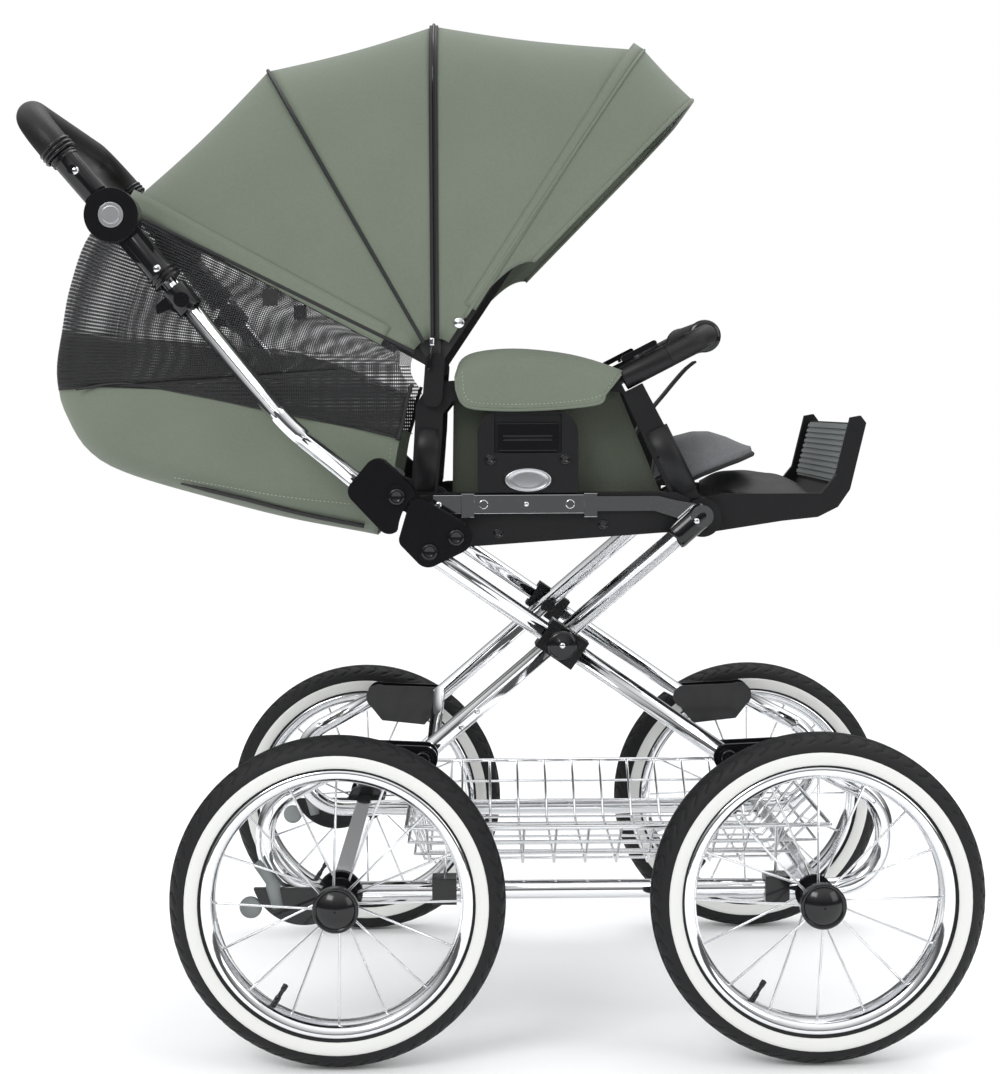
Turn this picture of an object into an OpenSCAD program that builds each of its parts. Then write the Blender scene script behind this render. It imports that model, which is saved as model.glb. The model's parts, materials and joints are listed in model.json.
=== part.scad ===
// Retro pram: chrome folding chassis on four wire wheels with a reclined seat unit and hood.
// Lengths are in millimetres. X points forward, Z up; the origin is on the ground,
// midway between the axles. Most pieces are drawn once and mirrored across the XZ plane.

/* [Wheels] */
// Distance between the front and rear axles
wheelbase = 500; // [480:5:520]
// Distance from the outer tubes to the middle of a wheel
wheel_gap = 55; // [52:1:64]
// Outer diameter of a tyre
tyre_d = 350; // [330:2:352]
// Width of a tyre
tyre_w = 44; // [36:1:46]
// Depth of the rubber from tread to rim
tyre_depth = 34; // [26:1:36]
// Radial height of the rim
rim_h = 13; // [10:1:16]
// Number of wire spokes in a wheel
spoke_count = 16; // [12:2:20]
// Diameter of a spoke
spoke_d = 2.6; // [2:0.2:3.4]
// Diameter of the hub cap
cap_d = 47; // [40:1:54]

/* [Chassis tubes] */
// Diameter of the frame tubes
tube_d = 20; // [18:0.5:20]
// Distance of the outer tubes from the middle plane
outer_y = 206; // [205.5:0.5:206]
// Step inwards from the outer tubes to the inner tubes
tube_step = 25; // [25:0.5:25.5]
// Height of the bottom rails
rail_z = 172; // [168:1:176]
// How far a spring bow reaches beyond its axle
bow_reach = 81; // [70:1:90]
// Bend radius of a spring bow
bow_bend = 54; // [40:1:56]
// Height of the spring bow's upper end
bow_top_z = 318; // [314:1:322]
// Distance of the spring bow's upper end from the middle between the axles
bow_top_x = 230; // [224:1:236]
// Height of the frame tube's lower pivot
foot_z = 316; // [314:1:318]
// Distance of the frame tube's lower pivot from the middle between the axles
foot_x = 160; // [156:1:164]

/* [Scissor] */
// Place of the crossing bolt along X
cross_x = -14; // [-20:1:-8]
// Height of the crossing bolt
cross_z = 437; // [432:1:442]
// Place of the fold hinge along X
fold_x = -125; // [-128:1:-122]
// Height of the fold hinge
fold_z = 551; // [548:1:554]
// Place of the inner frame's top pivot along X
top_x = 137; // [134:1:140]
// Height of the inner frame's top pivot
top_z = 570; // [568:1:572]

/* [Handle] */
// Place of the handle's angle joint along X
knob_x = -479; // [-484:1:-474]
// Height of the handle's angle joint
knob_z = 887; // [882:1:892]
// Diameter of the angle joint's housing
knob_d = 56; // [50:1:60]
// Length of the upper handle from the angle joint to the grip bar
upper_len = 144; // [136:1:150]
// Diameter of the grip
grip_d = 34; // [30:1:36]

/* [Seat] */
// Step inwards from the inner tubes to the faces of the seat frame
seat_step = 16; // [16:0.5:17]
// Thickness of the seat frame's side bars
seat_bar_w = 16; // [14:0.5:17]
// Thickness of the seat cushion
cushion_h = 42; // [34:1:46]
// Place of the backrest hinge along X
recline_x = -150; // [-153:1:-147]
// Height of the backrest hinge
recline_z = 578; // [575:1:580]
// Length of the backrest
back_len = 392; // [380:2:396]
// Angle of the reclined backrest above the horizontal
back_angle = 20; // [16:1:24]

/* [Footrest] */
// Place of the footrest hinge along X
foot_hinge_x = 140; // [138:1:142]
// Height of the footrest hinge
foot_hinge_z = 567; // [565:1:568]

/* [Hood] */
// Place of the hood pivot along X
hood_x = -147; // [-149:1:-145]
// Height of the hood pivot
hood_z = 735; // [733:1:738]
// Radius of the middle bow's crown
crown_r = 366; // [350:1:368]
// Radius of the front bow's crown
front_r = 410; // [395:1:412]
// Radius of the visor's edge
visor_r = 402; // [390:1:410]
// Radius of the rear edge's crown
edge_r = 380; // [360:1:384]
// Corner radius of a bow
bow_corner = 80; // [60:2:100]
// Thickness of the hood fabric
hood_t = 3; // [2:0.5:4]

/* [Basket] */
// Step inwards from the outer tubes to the rim of the basket
basket_step = 16; // [14:1:24]
// Half of the basket's width at the floor
basket_floor_y = 110; // [90:2:130]
// Height of the basket's rim
basket_top = 236; // [230:1:242]
// Height of the basket's floor
basket_floor = 178; // [170:1:190]
// Rear end of the basket's rim along X
basket_x0 = -181; // [-183:1:-170]
// Front end of the basket's rim along X
basket_x1 = 276; // [260:1:280]
// Diameter of the basket's wire
wire_d = 3.2; // [2.6:0.2:4]

/* [Hidden] */
$fn = 48;

chrome = [0.82, 0.83, 0.85];
black = [0.06, 0.06, 0.065];
sage = [0.50, 0.55, 0.48];

// clearances
run_gap = 0.4;
side_gap = 0.6;

tube_r = tube_d / 2;
track = 2 * (outer_y + wheel_gap);
inner_y = outer_y - tube_step;
seat_y = inner_y - seat_step;
basket_y = outer_y - basket_step;
pin_r = 5;
eye_r = 12;
tyre_r = tyre_d / 2;
axle_z = tyre_r;
axle_r = 6;
clip_x = [110 - wheelbase / 2, wheelbase / 2 - 35];
rim_out = tyre_r - tyre_depth;
rim_in = rim_out - rim_h;
hub_r = 18;
hub_half = 27;
bearing_r = axle_r + 0.05;

cross = [cross_x, cross_z];
fold = [fold_x, fold_z];
top = [top_x, top_z];
knob = [knob_x, knob_z];

// unit vector, length and turn of a plane vector
function unit(v) = v / norm(v);
function turn(v) = atan2(v[1], v[0]);
function side_of(v) = [-v[1], v[0]];
function polar(r, a) = [r * cos(a), r * sin(a)];

// flat shape drawn with X across and Y up becomes a slab between two Y planes
module slab(y0, y1) {
    translate([0, y1, 0]) rotate([90, 0, 0]) linear_extrude(y1 - y0) children();
}

module both() {
    children();
    mirror([0, 1, 0]) children();
}

// cylinder along Y between two Y planes
module peg(p, r, y0, y1) {
    translate([p[0], y0, p[1]]) rotate([-90, 0, 0]) cylinder(r = r, h = y1 - y0);
}

// straight tube between two points of a plane at constant Y
module plane_bar(a, b, y, r) {
    translate([a[0], y, a[1]]) rotate([0, 90 - turn(b - a), 0]) cylinder(r = r, h = norm(b - a));
}

// straight tube between any two points
module rod(a, b, r) {
    v = b - a;
    translate(a) rotate([0, acos(v[2] / norm(v)), atan2(v[1], v[0])]) cylinder(r = r, h = norm(v));
}

// tube along corner points of a plane at constant Y, each inner corner rounded to its bend radius
function corner_turn(p, i) = let (d = turn(p[i + 1] - p[i]) - turn(p[i] - p[i - 1]))
    d > 180 ? d - 360 : d < -180 ? d + 360 : d;
function corner_cut(p, bend, i) = i <= 0 || i >= len(p) - 1 ? 0 : bend * tan(abs(corner_turn(p, i)) / 2);

module bent_tube(p, bend, y, r) {
    lap = 0.4;
    last = len(p) - 2;
    translate([0, y, 0]) rotate([90, 0, 0]) for (i = [0 : last]) {
        u = unit(p[i + 1] - p[i]);
        a = p[i] + u * corner_cut(p, bend, i);
        b = p[i + 1] - u * corner_cut(p, bend, i + 1);
        from = i > 0 ? lap : 0;
        to = i < last ? lap : 0;
        translate(a - u * from) rotate([0, 0, turn(u)]) rotate([0, 90, 0])
            cylinder(r = r, h = norm(b - a) + from + to);
        if (i < last) {
            d = corner_turn(p, i + 1);
            s = sign(d);
            translate(b + side_of(u) * s * bend)
                rotate([0, 0, turn(u) - 90 * s + (s < 0 ? d : 0)])
                rotate_extrude(angle = abs(d), $fn = 96) translate([bend, 0]) circle(r + 0.04);
        }
    }
}

// straight-sided bar of a given width between two plane points, with round ends
module round_bar(a, b, r) {
    translate(a) circle(r);
    translate(b) circle(r);
    translate(a) rotate(turn(b - a)) translate([0, -r]) square([norm(b - a), 2 * r]);
}

// Wheels

module at_wheel(front, left) {
    translate([front * wheelbase / 2, left * track / 2, axle_z]) rotate([-90 * left, 0, 0]) children();
}

// In a wheel's own frame the axle is Z and points outwards.
module tyre() {
    color("#17181a") rotate_extrude($fn = 120) intersection() {
        translate([tyre_r - tyre_w / 2, 0]) circle(tyre_w / 2);
        translate([rim_out, -tyre_w]) square([tyre_depth + 1, 2 * tyre_w]);
    }
}

module rim() {
    seat = sqrt(pow(tyre_w / 2, 2) - pow(tyre_depth - tyre_w / 2, 2));
    color(chrome) rotate_extrude($fn = 120) polygon([
        [rim_in, -seat / 2], [rim_in + 3, -seat + 3], [rim_out, -seat],
        [rim_out, seat], [rim_in + 3, seat - 3], [rim_in, seat / 2]
    ]);
}

module spokes() {
    flange = hub_half - 8;
    color(chrome) for (i = [0 : spoke_count - 1]) {
        a = i * 360 / spoke_count;
        lean = i % 2 == 0 ? 9 : -9;
        z = i % 2 == 0 ? flange : -flange;
        rod([hub_r * cos(a + lean), hub_r * sin(a + lean), z],
            [(rim_in + 1) * cos(a), (rim_in + 1) * sin(a), sign(z) * 2], spoke_d / 2);
    }
}

module hub() {
    cap_r = cap_d / 2;
    color(black) difference() {
        union() {
            translate([0, 0, -hub_half]) cylinder(r = hub_r - 4, h = 2 * hub_half);
            for (s = [-1, 1]) translate([0, 0, s * (hub_half - 8) - 2.5]) cylinder(r = hub_r + 2, h = 5);
            translate([0, 0, hub_half]) cylinder(r = cap_r, h = 8);
            intersection() {
                translate([0, 0, hub_half + 8 - 20]) sphere(r = 29);
                translate([0, 0, hub_half]) cylinder(r = cap_r - 3, h = 30);
            }
        }
        translate([0, 0, -hub_half - 1]) cylinder(r = bearing_r, h = 2 * hub_half - 4);
    }
}

// Chassis

module spring_frames() {
    reach = wheelbase / 2 + bow_reach;
    slope = 28;
    knee = bow_top_z - (reach - bow_top_x) * tan(slope);
    color(chrome) both() difference() {
        union() {
            bent_tube([
                [-bow_top_x, bow_top_z], [-reach, knee], [-reach, rail_z],
                [reach, rail_z], [reach, knee], [bow_top_x, bow_top_z]
            ], bow_bend, outer_y, tube_r);
            for (s = [-1, 1]) peg([s * bow_top_x, bow_top_z], eye_r, outer_y - tube_r, outer_y + tube_r);
        }
        for (s = [-1, 1]) peg([s * bow_top_x, bow_top_z], pin_r + 0.1, outer_y - 20, outer_y + 20);
    }
}

module axles() {
    bar = 18;
    drop = 2;
    color(chrome) for (s = [-1, 1]) translate([s * wheelbase / 2, 0, axle_z]) difference() {
        union() {
            translate([-bar / 2, -outer_y - tube_r - 2, -bar / 2 + drop])
                cube([bar, 2 * (outer_y + tube_r + 2), bar]);
            both() translate([0, outer_y, 0]) rotate([-90, 0, 0])
                cylinder(r = axle_r, h = track / 2 + hub_half - 8 - outer_y);
        }
        both() translate([-bar, outer_y, rail_z - axle_z]) rotate([0, 90, 0]) cylinder(r = tube_r, h = 2 * bar);
    }
}

// One wire across the basket: floor, two sloping walls, and a round bend at each corner
corner_r = wire_d / 2 + 0.15;
module basket_cross_wire(x) {
    r = wire_d / 2;
    rod([x, -basket_floor_y, basket_floor], [x, basket_floor_y, basket_floor], r);
    both() {
        rod([x, basket_floor_y, basket_floor], [x, basket_y, basket_top], r);
        translate([x, basket_floor_y, basket_floor]) sphere(corner_r, $fn = 24);
    }
}

// Lengthwise wires lie above the floor wires and outside the wall wires
module wire_basket() {
    r = wire_d / 2;
    lift = wire_d + 0.02;
    rows = 12;
    floor_rows = 7;
    inset = [22, 50];
    slope = unit([basket_y - basket_floor_y, basket_top - basket_floor]);
    color(chrome) {
        for (i = [0 : rows - 1])
            basket_cross_wire(basket_x0 + inset[0] + (basket_x1 - basket_x0 - inset[0] - inset[1]) * i / (rows - 1));
        // rim
        both() rod([basket_x0, basket_y, basket_top], [basket_x1, basket_y, basket_top], r * 1.5);
        for (x = [basket_x0, basket_x1]) {
            rod([x, -basket_y, basket_top], [x, basket_y, basket_top], r * 1.5);
            both() translate([x, basket_y, basket_top]) sphere(r * 1.5 + 0.15, $fn = 24);
        }
        // lengthwise floor wires, turned up to the rim at both ends
        for (j = [0 : floor_rows - 1]) {
            y = -basket_floor_y + 5 + (2 * basket_floor_y - 10) * j / (floor_rows - 1);
            z = basket_floor + lift;
            rod([basket_x0 + inset[0] - 5, y, z], [basket_x1 - inset[1] + 5, y, z], r);
            for (x = [basket_x0 + inset[0] - 5, basket_x1 - inset[1] + 5]) {
                translate([x, y, z]) sphere(corner_r, $fn = 24);
                rod([x, y, z], [x < 0 ? basket_x0 : basket_x1, y * 1.2, basket_top], r);
            }
        }
        // two wires round the walls
        for (k = [1, 2]) {
            t = k / 3;
            y = basket_floor_y + (basket_y - basket_floor_y) * t + slope[1] * lift;
            z = basket_floor + (basket_top - basket_floor) * t - slope[0] * lift;
            e = [for (n = inset) (n - 5) * (1 - t) - wire_d - 1];
            both() rod([basket_x0 + e[0], y, z], [basket_x1 - e[1], y, z], r);
            for (x = [basket_x0 + e[0], basket_x1 - e[1]]) {
                rod([x, -y, z], [x, y, z], r);
                both() translate([x, y, z]) sphere(corner_r, $fn = 24);
            }
        }
        // hangers down to the rails
        both() for (x = clip_x)
            rod([x + 3, basket_y, basket_top], [x, outer_y - 4, rail_z + tube_r - 1], r);
    }
}

module basket_clips() {
    color(black) both() for (x = clip_x) difference() {
        translate([x - 13, outer_y - tube_r - 3, rail_z - tube_r - 3]) cube([26, 2 * tube_r + 6, 2 * tube_r + 8]);
        translate([x - 14, outer_y, rail_z]) rotate([0, 90, 0]) cylinder(r = tube_r, h = 28);
        rod([x + 3, basket_y, basket_top], [x, outer_y - 4, rail_z + tube_r - 1], wire_d / 2);
    }
}

// Foot lever that turns on the rear axle beside the wheel
brake_y0 = outer_y + 16.4;
brake_y1 = track / 2 - hub_half - 4.6;
module brake_lever(s) {
    c = [-wheelbase / 2, axle_z];
    color(black) mirror([0, s < 0 ? 1 : 0, 0]) difference() {
        slab(brake_y0, brake_y1) {
            translate(c) circle(24);
            intersection() {
                translate(c + [-38, 22]) circle(56);
                translate(c + [-98, -40]) square([96, 46]);
            }
        }
        peg(c, axle_r + run_gap, brake_y0 - 1, brake_y1 + 1);
    }
}

// Short link with two cheeks and a web between them, from a spring bow to a frame tube
cheek_t = 3.8;
cheek_out_t = 5;
cheek_in = outer_y - tube_r - side_gap;
cheek_out = outer_y + tube_r + side_gap;
module link_cheek(s) {
    a = [s * bow_top_x, bow_top_z];
    b = [s * foot_x, foot_z];
    translate(a) circle(16);
    translate(b) circle(14);
    polygon([a + [0, 15], b + [0, 14], b + [-s * 13, 3], b + [-s * 2, -18],
        b + [s * 12, -34], a + [s * -4, -30], a + [s * 15, -6]]);
}

module links(s) {
    a = [s * bow_top_x, bow_top_z];
    b = [s * foot_x, foot_z];
    web = (a + b) / 2;
    color(black) both() {
        slab(cheek_in - cheek_t, cheek_in) link_cheek(s);
        slab(cheek_out, cheek_out + cheek_out_t) link_cheek(s);
        translate([web[0] - 11, cheek_in, web[1] - 24]) cube([22, cheek_out - cheek_in, 34]);
        for (p = [a, b]) {
            peg(p, pin_r, cheek_in - cheek_t, cheek_out + cheek_out_t);
            peg(p, 9, cheek_out + cheek_out_t, cheek_out + cheek_out_t + 2.5);
        }
    }
}

// Scissor frames
a_dir = unit(cross - [foot_x, foot_z]);
a_foot = [foot_x, foot_z];
a_end = cross + a_dir * 171;
b_foot = [-foot_x, foot_z];
b_dir = unit(cross - b_foot);
b_stay = b_foot + [8, 10];
stay_r = 7;
shaft_r = 7;

module outer_frame() {
    color(chrome) {
        both() difference() {
            union() {
                plane_bar(a_foot, a_end, outer_y, tube_r);
                peg(a_foot, eye_r, outer_y - tube_r, outer_y + tube_r);
            }
            peg(a_foot, pin_r + 0.1, outer_y - 20, outer_y + 20);
            peg(cross, pin_r, outer_y - 20, outer_y + 20);
        }
        peg(fold, shaft_r, -cheek_out - cheek_out_t, cheek_out + cheek_out_t);
    }
}

// Outline of the lower fold casing, kept inside the joint's sweep circle
casing_sweep = 60;
module lower_casing_shape() {
    intersection() {
        hull() {
            translate(fold) circle(17, $fn = 32);
            translate(a_end) circle(15, $fn = 32);
            translate(fold + [-38, 28]) circle(13, $fn = 32);
            translate(fold + [-50, -2]) circle(10, $fn = 32);
        }
        translate(fold) circle(casing_sweep);
    }
}

module lower_fold_casings() {
    color(black) both() difference() {
        union() {
            slab(cheek_in - cheek_t, cheek_in) lower_casing_shape();
            slab(cheek_out, cheek_out + cheek_out_t) lower_casing_shape();
            slab(cheek_in, cheek_out) translate(a_end) circle(14);
            peg(a_end, 8.5, cheek_out + cheek_out_t, cheek_out + cheek_out_t + 3);
        }
        plane_bar(a_foot, a_end, outer_y, tube_r);
        peg(fold, shaft_r, 0, cheek_out + 20);
    }
}

// Clamp block on the outer tube with the crossing bolt and its round nut
module crossing_clamps() {
    long = 46;
    high = 34;
    color(black) both() {
        difference() {
            translate([cross_x, 0, cross_z]) rotate([0, -turn(a_dir), 0]) union() {
                translate([-long / 2, cheek_in - cheek_t, -high / 2])
                    cube([long, 2 * (tube_r + side_gap) + cheek_t + 3, high]);
                translate([-long / 2 + 6, cheek_out + 2, -high / 2 + 5]) cube([long - 12, 4, high - 10]);
            }
            plane_bar(a_foot, a_end, outer_y, tube_r);
        }
        peg(cross, pin_r, inner_y - tube_r - 6, cheek_in);
        peg(cross, 8, inner_y - tube_r - 6, inner_y - tube_r - 0.5);
    }
}

module inner_frame() {
    color(chrome) {
        both() difference() {
            union() {
                plane_bar(b_foot + b_dir * 8, top, inner_y, tube_r);
                peg(top, 12, inner_y - tube_r, inner_y + tube_r);
            }
            peg(cross, pin_r + 0.1, inner_y - 20, inner_y + 20);
        }
        peg(b_stay, stay_r, -inner_y, inner_y);
        both() peg(top, pin_r, seat_y + 1.1, inner_y);
    }
}

// Flat strips that slide in the seat rails as the frame folds
strip_y0 = seat_y + 1.2;
strip_y1 = strip_y0 + 3.5;
strip_z0 = 575;
strip_z1 = 591;
strip_x0 = -75;
module rail_strips() {
    color(chrome) both() difference() {
        slab(strip_y0, strip_y1) {
            polygon([[strip_x0, strip_z0], [88, strip_z0], top + [-12, -7], top + [3, 11],
                [112, strip_z1 - 5], [92, strip_z1], [strip_x0, strip_z1]]);
            translate(top) circle(11);
        }
        peg(top, pin_r + 0.1, 0, 250);
    }
}

// Handle
elbow = [knob_x + 178, knob_z - 219];
tail = [-205, 590];
low_dir = unit(elbow - knob);
up_dir = unit([-93, 110]);
up_angle = turn(up_dir);
knob_r = knob_d / 2;

module handle_tubes() {
    color(chrome) both() bent_tube([knob + low_dir * 36, elbow, tail], 200, outer_y, tube_r);
}

module upper_casing_shape() {
    difference() {
        hull() {
            translate(tail + [-2, 30]) circle(14, $fn = 32);
            translate(tail + [22, 4]) circle(16, $fn = 32);
            translate(tail + [10, -22]) circle(13, $fn = 32);
            translate(tail + [-20, 10]) circle(13, $fn = 32);
        }
        translate(fold) circle(casing_sweep + 2.5);
    }
}

module upper_fold_casings() {
    color(black) both() difference() {
        union() {
            slab(cheek_in - cheek_t, cheek_in) upper_casing_shape();
            slab(cheek_out, cheek_out + cheek_out_t) upper_casing_shape();
            slab(cheek_in - 1, cheek_out + 1) difference() {
                translate(tail + [-6, 5]) circle(18);
                translate(fold) circle(casing_sweep + 3.5);
            }
            slab(outer_y - 7, outer_y + 7)
                hull() for (p = [fold, tail + [-2, 4]]) translate(p) circle(11, $fn = 32);
            peg(tail + [18, 8], 8.5, cheek_out + 1, cheek_out + cheek_out_t + 3);
        }
        plane_bar(tail + (tail - elbow), elbow, outer_y, tube_r);
        peg(fold, shaft_r + 0.1, 0, cheek_out + 20);
    }
}

// Angle joint: the socket's disc lies outside the upper arm's disc
disc_y0 = outer_y - 14;
disc_y1 = outer_y + 1.5;
disc_y2 = outer_y + 2.5;
disc_y3 = outer_y + 19;
socket_end = 87;
button_r = 13;
button_in = disc_y3 - 10;
module handle_sockets() {
    color(black) both() difference() {
        union() {
            peg(knob, knob_r, disc_y2, disc_y3);
            plane_bar(knob + low_dir * (knob_r + 2), knob + low_dir * socket_end, outer_y, 14.5);
            slab(disc_y2, outer_y + 12) round_bar(knob, knob + low_dir * 46, 13.5);
            for (k = [0 : 2]) plane_bar(knob + low_dir * (socket_end - 12 + k * 5),
                knob + low_dir * (socket_end - 9.5 + k * 5), outer_y, 16.5);
            peg(knob, 6, disc_y0, disc_y2);
        }
        plane_bar(knob + low_dir * 36, elbow, outer_y, tube_r);
        peg(knob, button_r + run_gap, button_in - 5, disc_y3 + 5);
    }
}

module adjuster_button(s) {
    color("#b9bcc0") mirror([0, s < 0 ? 1 : 0, 0]) {
        peg(knob, button_r, button_in, disc_y3 + 1.5);
        peg(knob, button_r - 4, disc_y3 + 1.5, disc_y3 + 2.5);
    }
}

trigger_in = 96;
trigger_out = 124;
module fold_triggers() {
    back = [-low_dir[1], low_dir[0]];
    color(black) both() difference() {
        union() {
            plane_bar(knob + low_dir * trigger_in, knob + low_dir * trigger_out, outer_y, 14);
            slab(outer_y - 6, outer_y + 6) polygon([
                knob + low_dir * 97, knob + low_dir * 99 - back * 26, knob + low_dir * 106 - back * 30,
                knob + low_dir * 110 - back * 17, knob + low_dir * 123 - back * 12, knob + low_dir * 123
            ]);
            peg(knob + low_dir * 112, 8, outer_y, outer_y + 17);
        }
        plane_bar(knob, knob + low_dir * 150, outer_y, tube_r + run_gap);
    }
}

module fan(p, angle) {
    translate([p[0], 0, p[1]]) rotate([0, 90 - angle, 0]) rotate([0, 0, 90]) children();
}

arm_end = 84;
module handle_arms() {
    color(black) both() difference() {
        union() {
            peg(knob, knob_r - 1, disc_y0, disc_y1);
            plane_bar(knob + up_dir * (knob_r + 2), knob + up_dir * arm_end, outer_y, 13.5);
            slab(disc_y0, disc_y1) round_bar(knob, knob + up_dir * 44, 13);
            for (k = [0 : 1]) plane_bar(knob + up_dir * (arm_end - 8 + k * 4),
                knob + up_dir * (arm_end - 6 + k * 4), outer_y, 15);
            peg(knob + up_dir * 62, 5, outer_y, outer_y + 15);
        }
        peg(knob, 6.1, 0, 300);
    }
}

module handle_grip() {
    color([0.07, 0.07, 0.07]) fan(knob, up_angle) bent_tube([
        [-outer_y, arm_end + 0.2], [-outer_y, upper_len], [outer_y, upper_len], [outer_y, arm_end + 0.2]
    ], 56, 0, grip_d / 2);
}

// Seat
bar_in = seat_y - seat_bar_w;
bar_top = 595;
pan_z0 = 562;
pan_z1 = 570;
recline = [recline_x, recline_z];
foot_hinge = [foot_hinge_x, foot_hinge_z];
hood = [hood_x, hood_z];
back_half = seat_y - 37;
footrest_y = bar_in - run_gap;

module seat_base() {
    color(black) difference() {
        union() {
            both() {
                slab(bar_in, seat_y) {
                    polygon([[-176, 566], [-164, 542], [-112, 537], [0, 545], [100, 551], [126, 553],
                        [126, 588], [112, bar_top], [-140, bar_top], [-172, bar_top - 6]]);
                    translate(foot_hinge) circle(21);
                }
                peg(foot_hinge, pin_r, footrest_y - 10.6, bar_in);
                peg(recline, pin_r, back_half - 10, bar_in);
            }
            translate([-122, -bar_in, pan_z0]) cube([236, 2 * bar_in, pan_z1 - pan_z0]);
            for (x = [-100, 96]) translate([x - 9, -bar_in, pan_z0 - 12]) cube([18, 2 * bar_in, 12.5]);
        }
        peg(fold, shaft_r + 0.1, -300, 300);
    }
}

// Chrome rails on the seat frame with guides for the sliding strips
rail_y0 = strip_y1 + 0.6;
rail_y1 = rail_y0 + 3;
module seat_rails() {
    color(chrome) both() {
        slab(rail_y0, rail_y1) polygon([[-153, 573], [14, 573], [14, 593], [-150, 593]]);
        translate([-150, seat_y, 575]) cube([12, rail_y0 - seat_y, 16]);
        for (x = [-120, 12]) difference() {
            translate([x, seat_y, 569]) cube([14, rail_y1 + 1 - seat_y, 25.5]);
            translate([x - 1, seat_y - 1, strip_z0 - 2]) cube([16, rail_y0 - seat_y + 1, strip_z1 - strip_z0 + 4]);
        }
        for (x = [-96, -3]) peg([x, 583], 4.5, rail_y1, rail_y1 + 1);
    }
}

plate_x0 = -102;
plate_x1 = 6;
plate_top = 684;
plate_y1 = seat_y + 6;
module side_plates() {
    r = 26;
    w = plate_x1 - plate_x0;
    color([0.07, 0.07, 0.075]) both() {
        difference() {
            slab(seat_y - 8, plate_y1) {
                translate([plate_x0, bar_top]) square([w, plate_top - bar_top - r]);
                translate([plate_x0 + r, bar_top]) square([w - 2 * r, plate_top - bar_top]);
                for (x = [plate_x0 + r, plate_x1 - r]) translate([x, plate_top - r]) circle(r);
            }
            translate([plate_x0 + 18, plate_y1 - 3, 638]) cube([w - 36, 4, 42]);
        }
        for (x = [plate_x0 + 14, plate_x1 - 14]) peg([x, 631], 6.5, plate_y1, plate_y1 + 1.5);
        // oval boss for the bare badge
        translate([(plate_x0 + plate_x1) / 2, plate_y1, 609]) scale([27, 1, 13.5])
            rotate([-90, 0, 0]) cylinder(r = 1, h = 1.2, $fn = 96);
    }
}

module release_handles() {
    color([0.08, 0.08, 0.085]) both() translate([plate_x0 + 22, plate_y1 - 2.6, 640]) {
        cube([plate_x1 - plate_x0 - 44, 4, 30]);
        translate([6, 3.9, 12]) cube([plate_x1 - plate_x0 - 56, 2, 4]);
    }
}

// Armrest frame: an inverted U on each side, with the bumper socket and the hood hinge
post_y = seat_y - 13;
socket_dir = polar(1, 27);
socket_a = [58, 718];
socket_b = socket_a + socket_dir * 52;
plug_r = 8.5;
plate_in = seat_y + 1.5;
module armrest_shape() {
    polygon([[-174, bar_top - 2], [-168, 690], [-158, 706], [-140, 715], [20, 724], [46, 726], [57.4, 703], [63.9, 706], [75.6, 711.9],
        [104, 658], [139, 588], [108, 588], [78, 652], [54, 702], [20, 705], [-128, 694],
        [-139, 680], [-140, 658], [-146, bar_top - 2]]);
}
module hinge_plate() {
    hull() for (p = [hood, [hood_x - 3, 698]]) translate(p) circle(10.5, $fn = 32);
}

module armrest_frame() {
    color([0.08, 0.08, 0.085]) both() {
        slab(post_y - 3, post_y + 10) armrest_shape();
        difference() {
            plane_bar(socket_a - socket_dir * 3, socket_b, post_y, 12.6);
            plane_bar(socket_b - socket_dir * 46, socket_b + socket_dir * 5, post_y, plug_r + 0.4);
            peg_normal(socket_a + socket_dir * 26, 2.5);
        }
        difference() {
            slab(post_y + 10.02, plate_in + 3) hinge_plate();
            slab(post_y, plate_in) translate(hood) circle(17);
        }
        peg(hood, 4, seat_y - 17, plate_in + 4);
    }
}

// small hole or stem square to the bumper socket, on its upper side
module peg_normal(p, r, from = 6, to = 30) {
    n = [-socket_dir[1], socket_dir[0]];
    plane_bar(p + n * from, p + n * to, post_y, r);
}

// Fabric sleeve over each armrest, fuller in the middle, with a flap down the outside
module armrest_covers() {
    color(sage) both() difference() {
        union() {
            hull() {
                slab(post_y - 5, post_y + 14) hull() for (p = [[-110, 716, 15], [-50, 729, 17], [26, 723, 13]])
                    translate([p[0], p[1]]) circle(p[2], $fn = 24);
                slab(post_y - 10, post_y + 19) hull() for (p = [[-106, 712, 9], [-50, 724, 12], [25, 719, 8]])
                    translate([p[0], p[1]]) circle(p[2], $fn = 24);
            }
            slab(seat_y - 1, seat_y + 3.5) hull() for (x = [-106, 24])
                translate([x, 702]) circle(11, $fn = 24);
        }
        slab(post_y - 3.3, post_y + 10.3) offset(delta = 0.3) armrest_shape();
    }
}

// Bumper bar that plugs into the two sockets
bumper_reach = 48;
bumper_pad_r = 17;
module bumper_bar() {
    color([0.09, 0.09, 0.095]) fan(socket_b, 27) {
        bent_tube([[-post_y, 0.4], [-post_y, bumper_reach], [post_y, bumper_reach], [post_y, 0.4]],
            24, 0, 12.5);
        both_x() translate([post_y, 0, -42]) cylinder(r = plug_r, h = 50);
        translate([-118, 0, bumper_reach]) rotate([0, 90, 0]) cylinder(r = bumper_pad_r, h = 236);
    }
}

module both_x() {
    children();
    mirror([1, 0, 0]) children();
}

module bumper_buttons() {
    color(black) both() {
        n = [-socket_dir[1], socket_dir[0]];
        c = socket_a + socket_dir * 26 + n * 16.2;
        slab(post_y - 6, post_y + 6) round_bar(c - socket_dir * 18 + n * 3, c + socket_dir * 18 + n * 3, 3);
        peg_normal(socket_a + socket_dir * 26, 2.1, 13, 18);
    }
}

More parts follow.
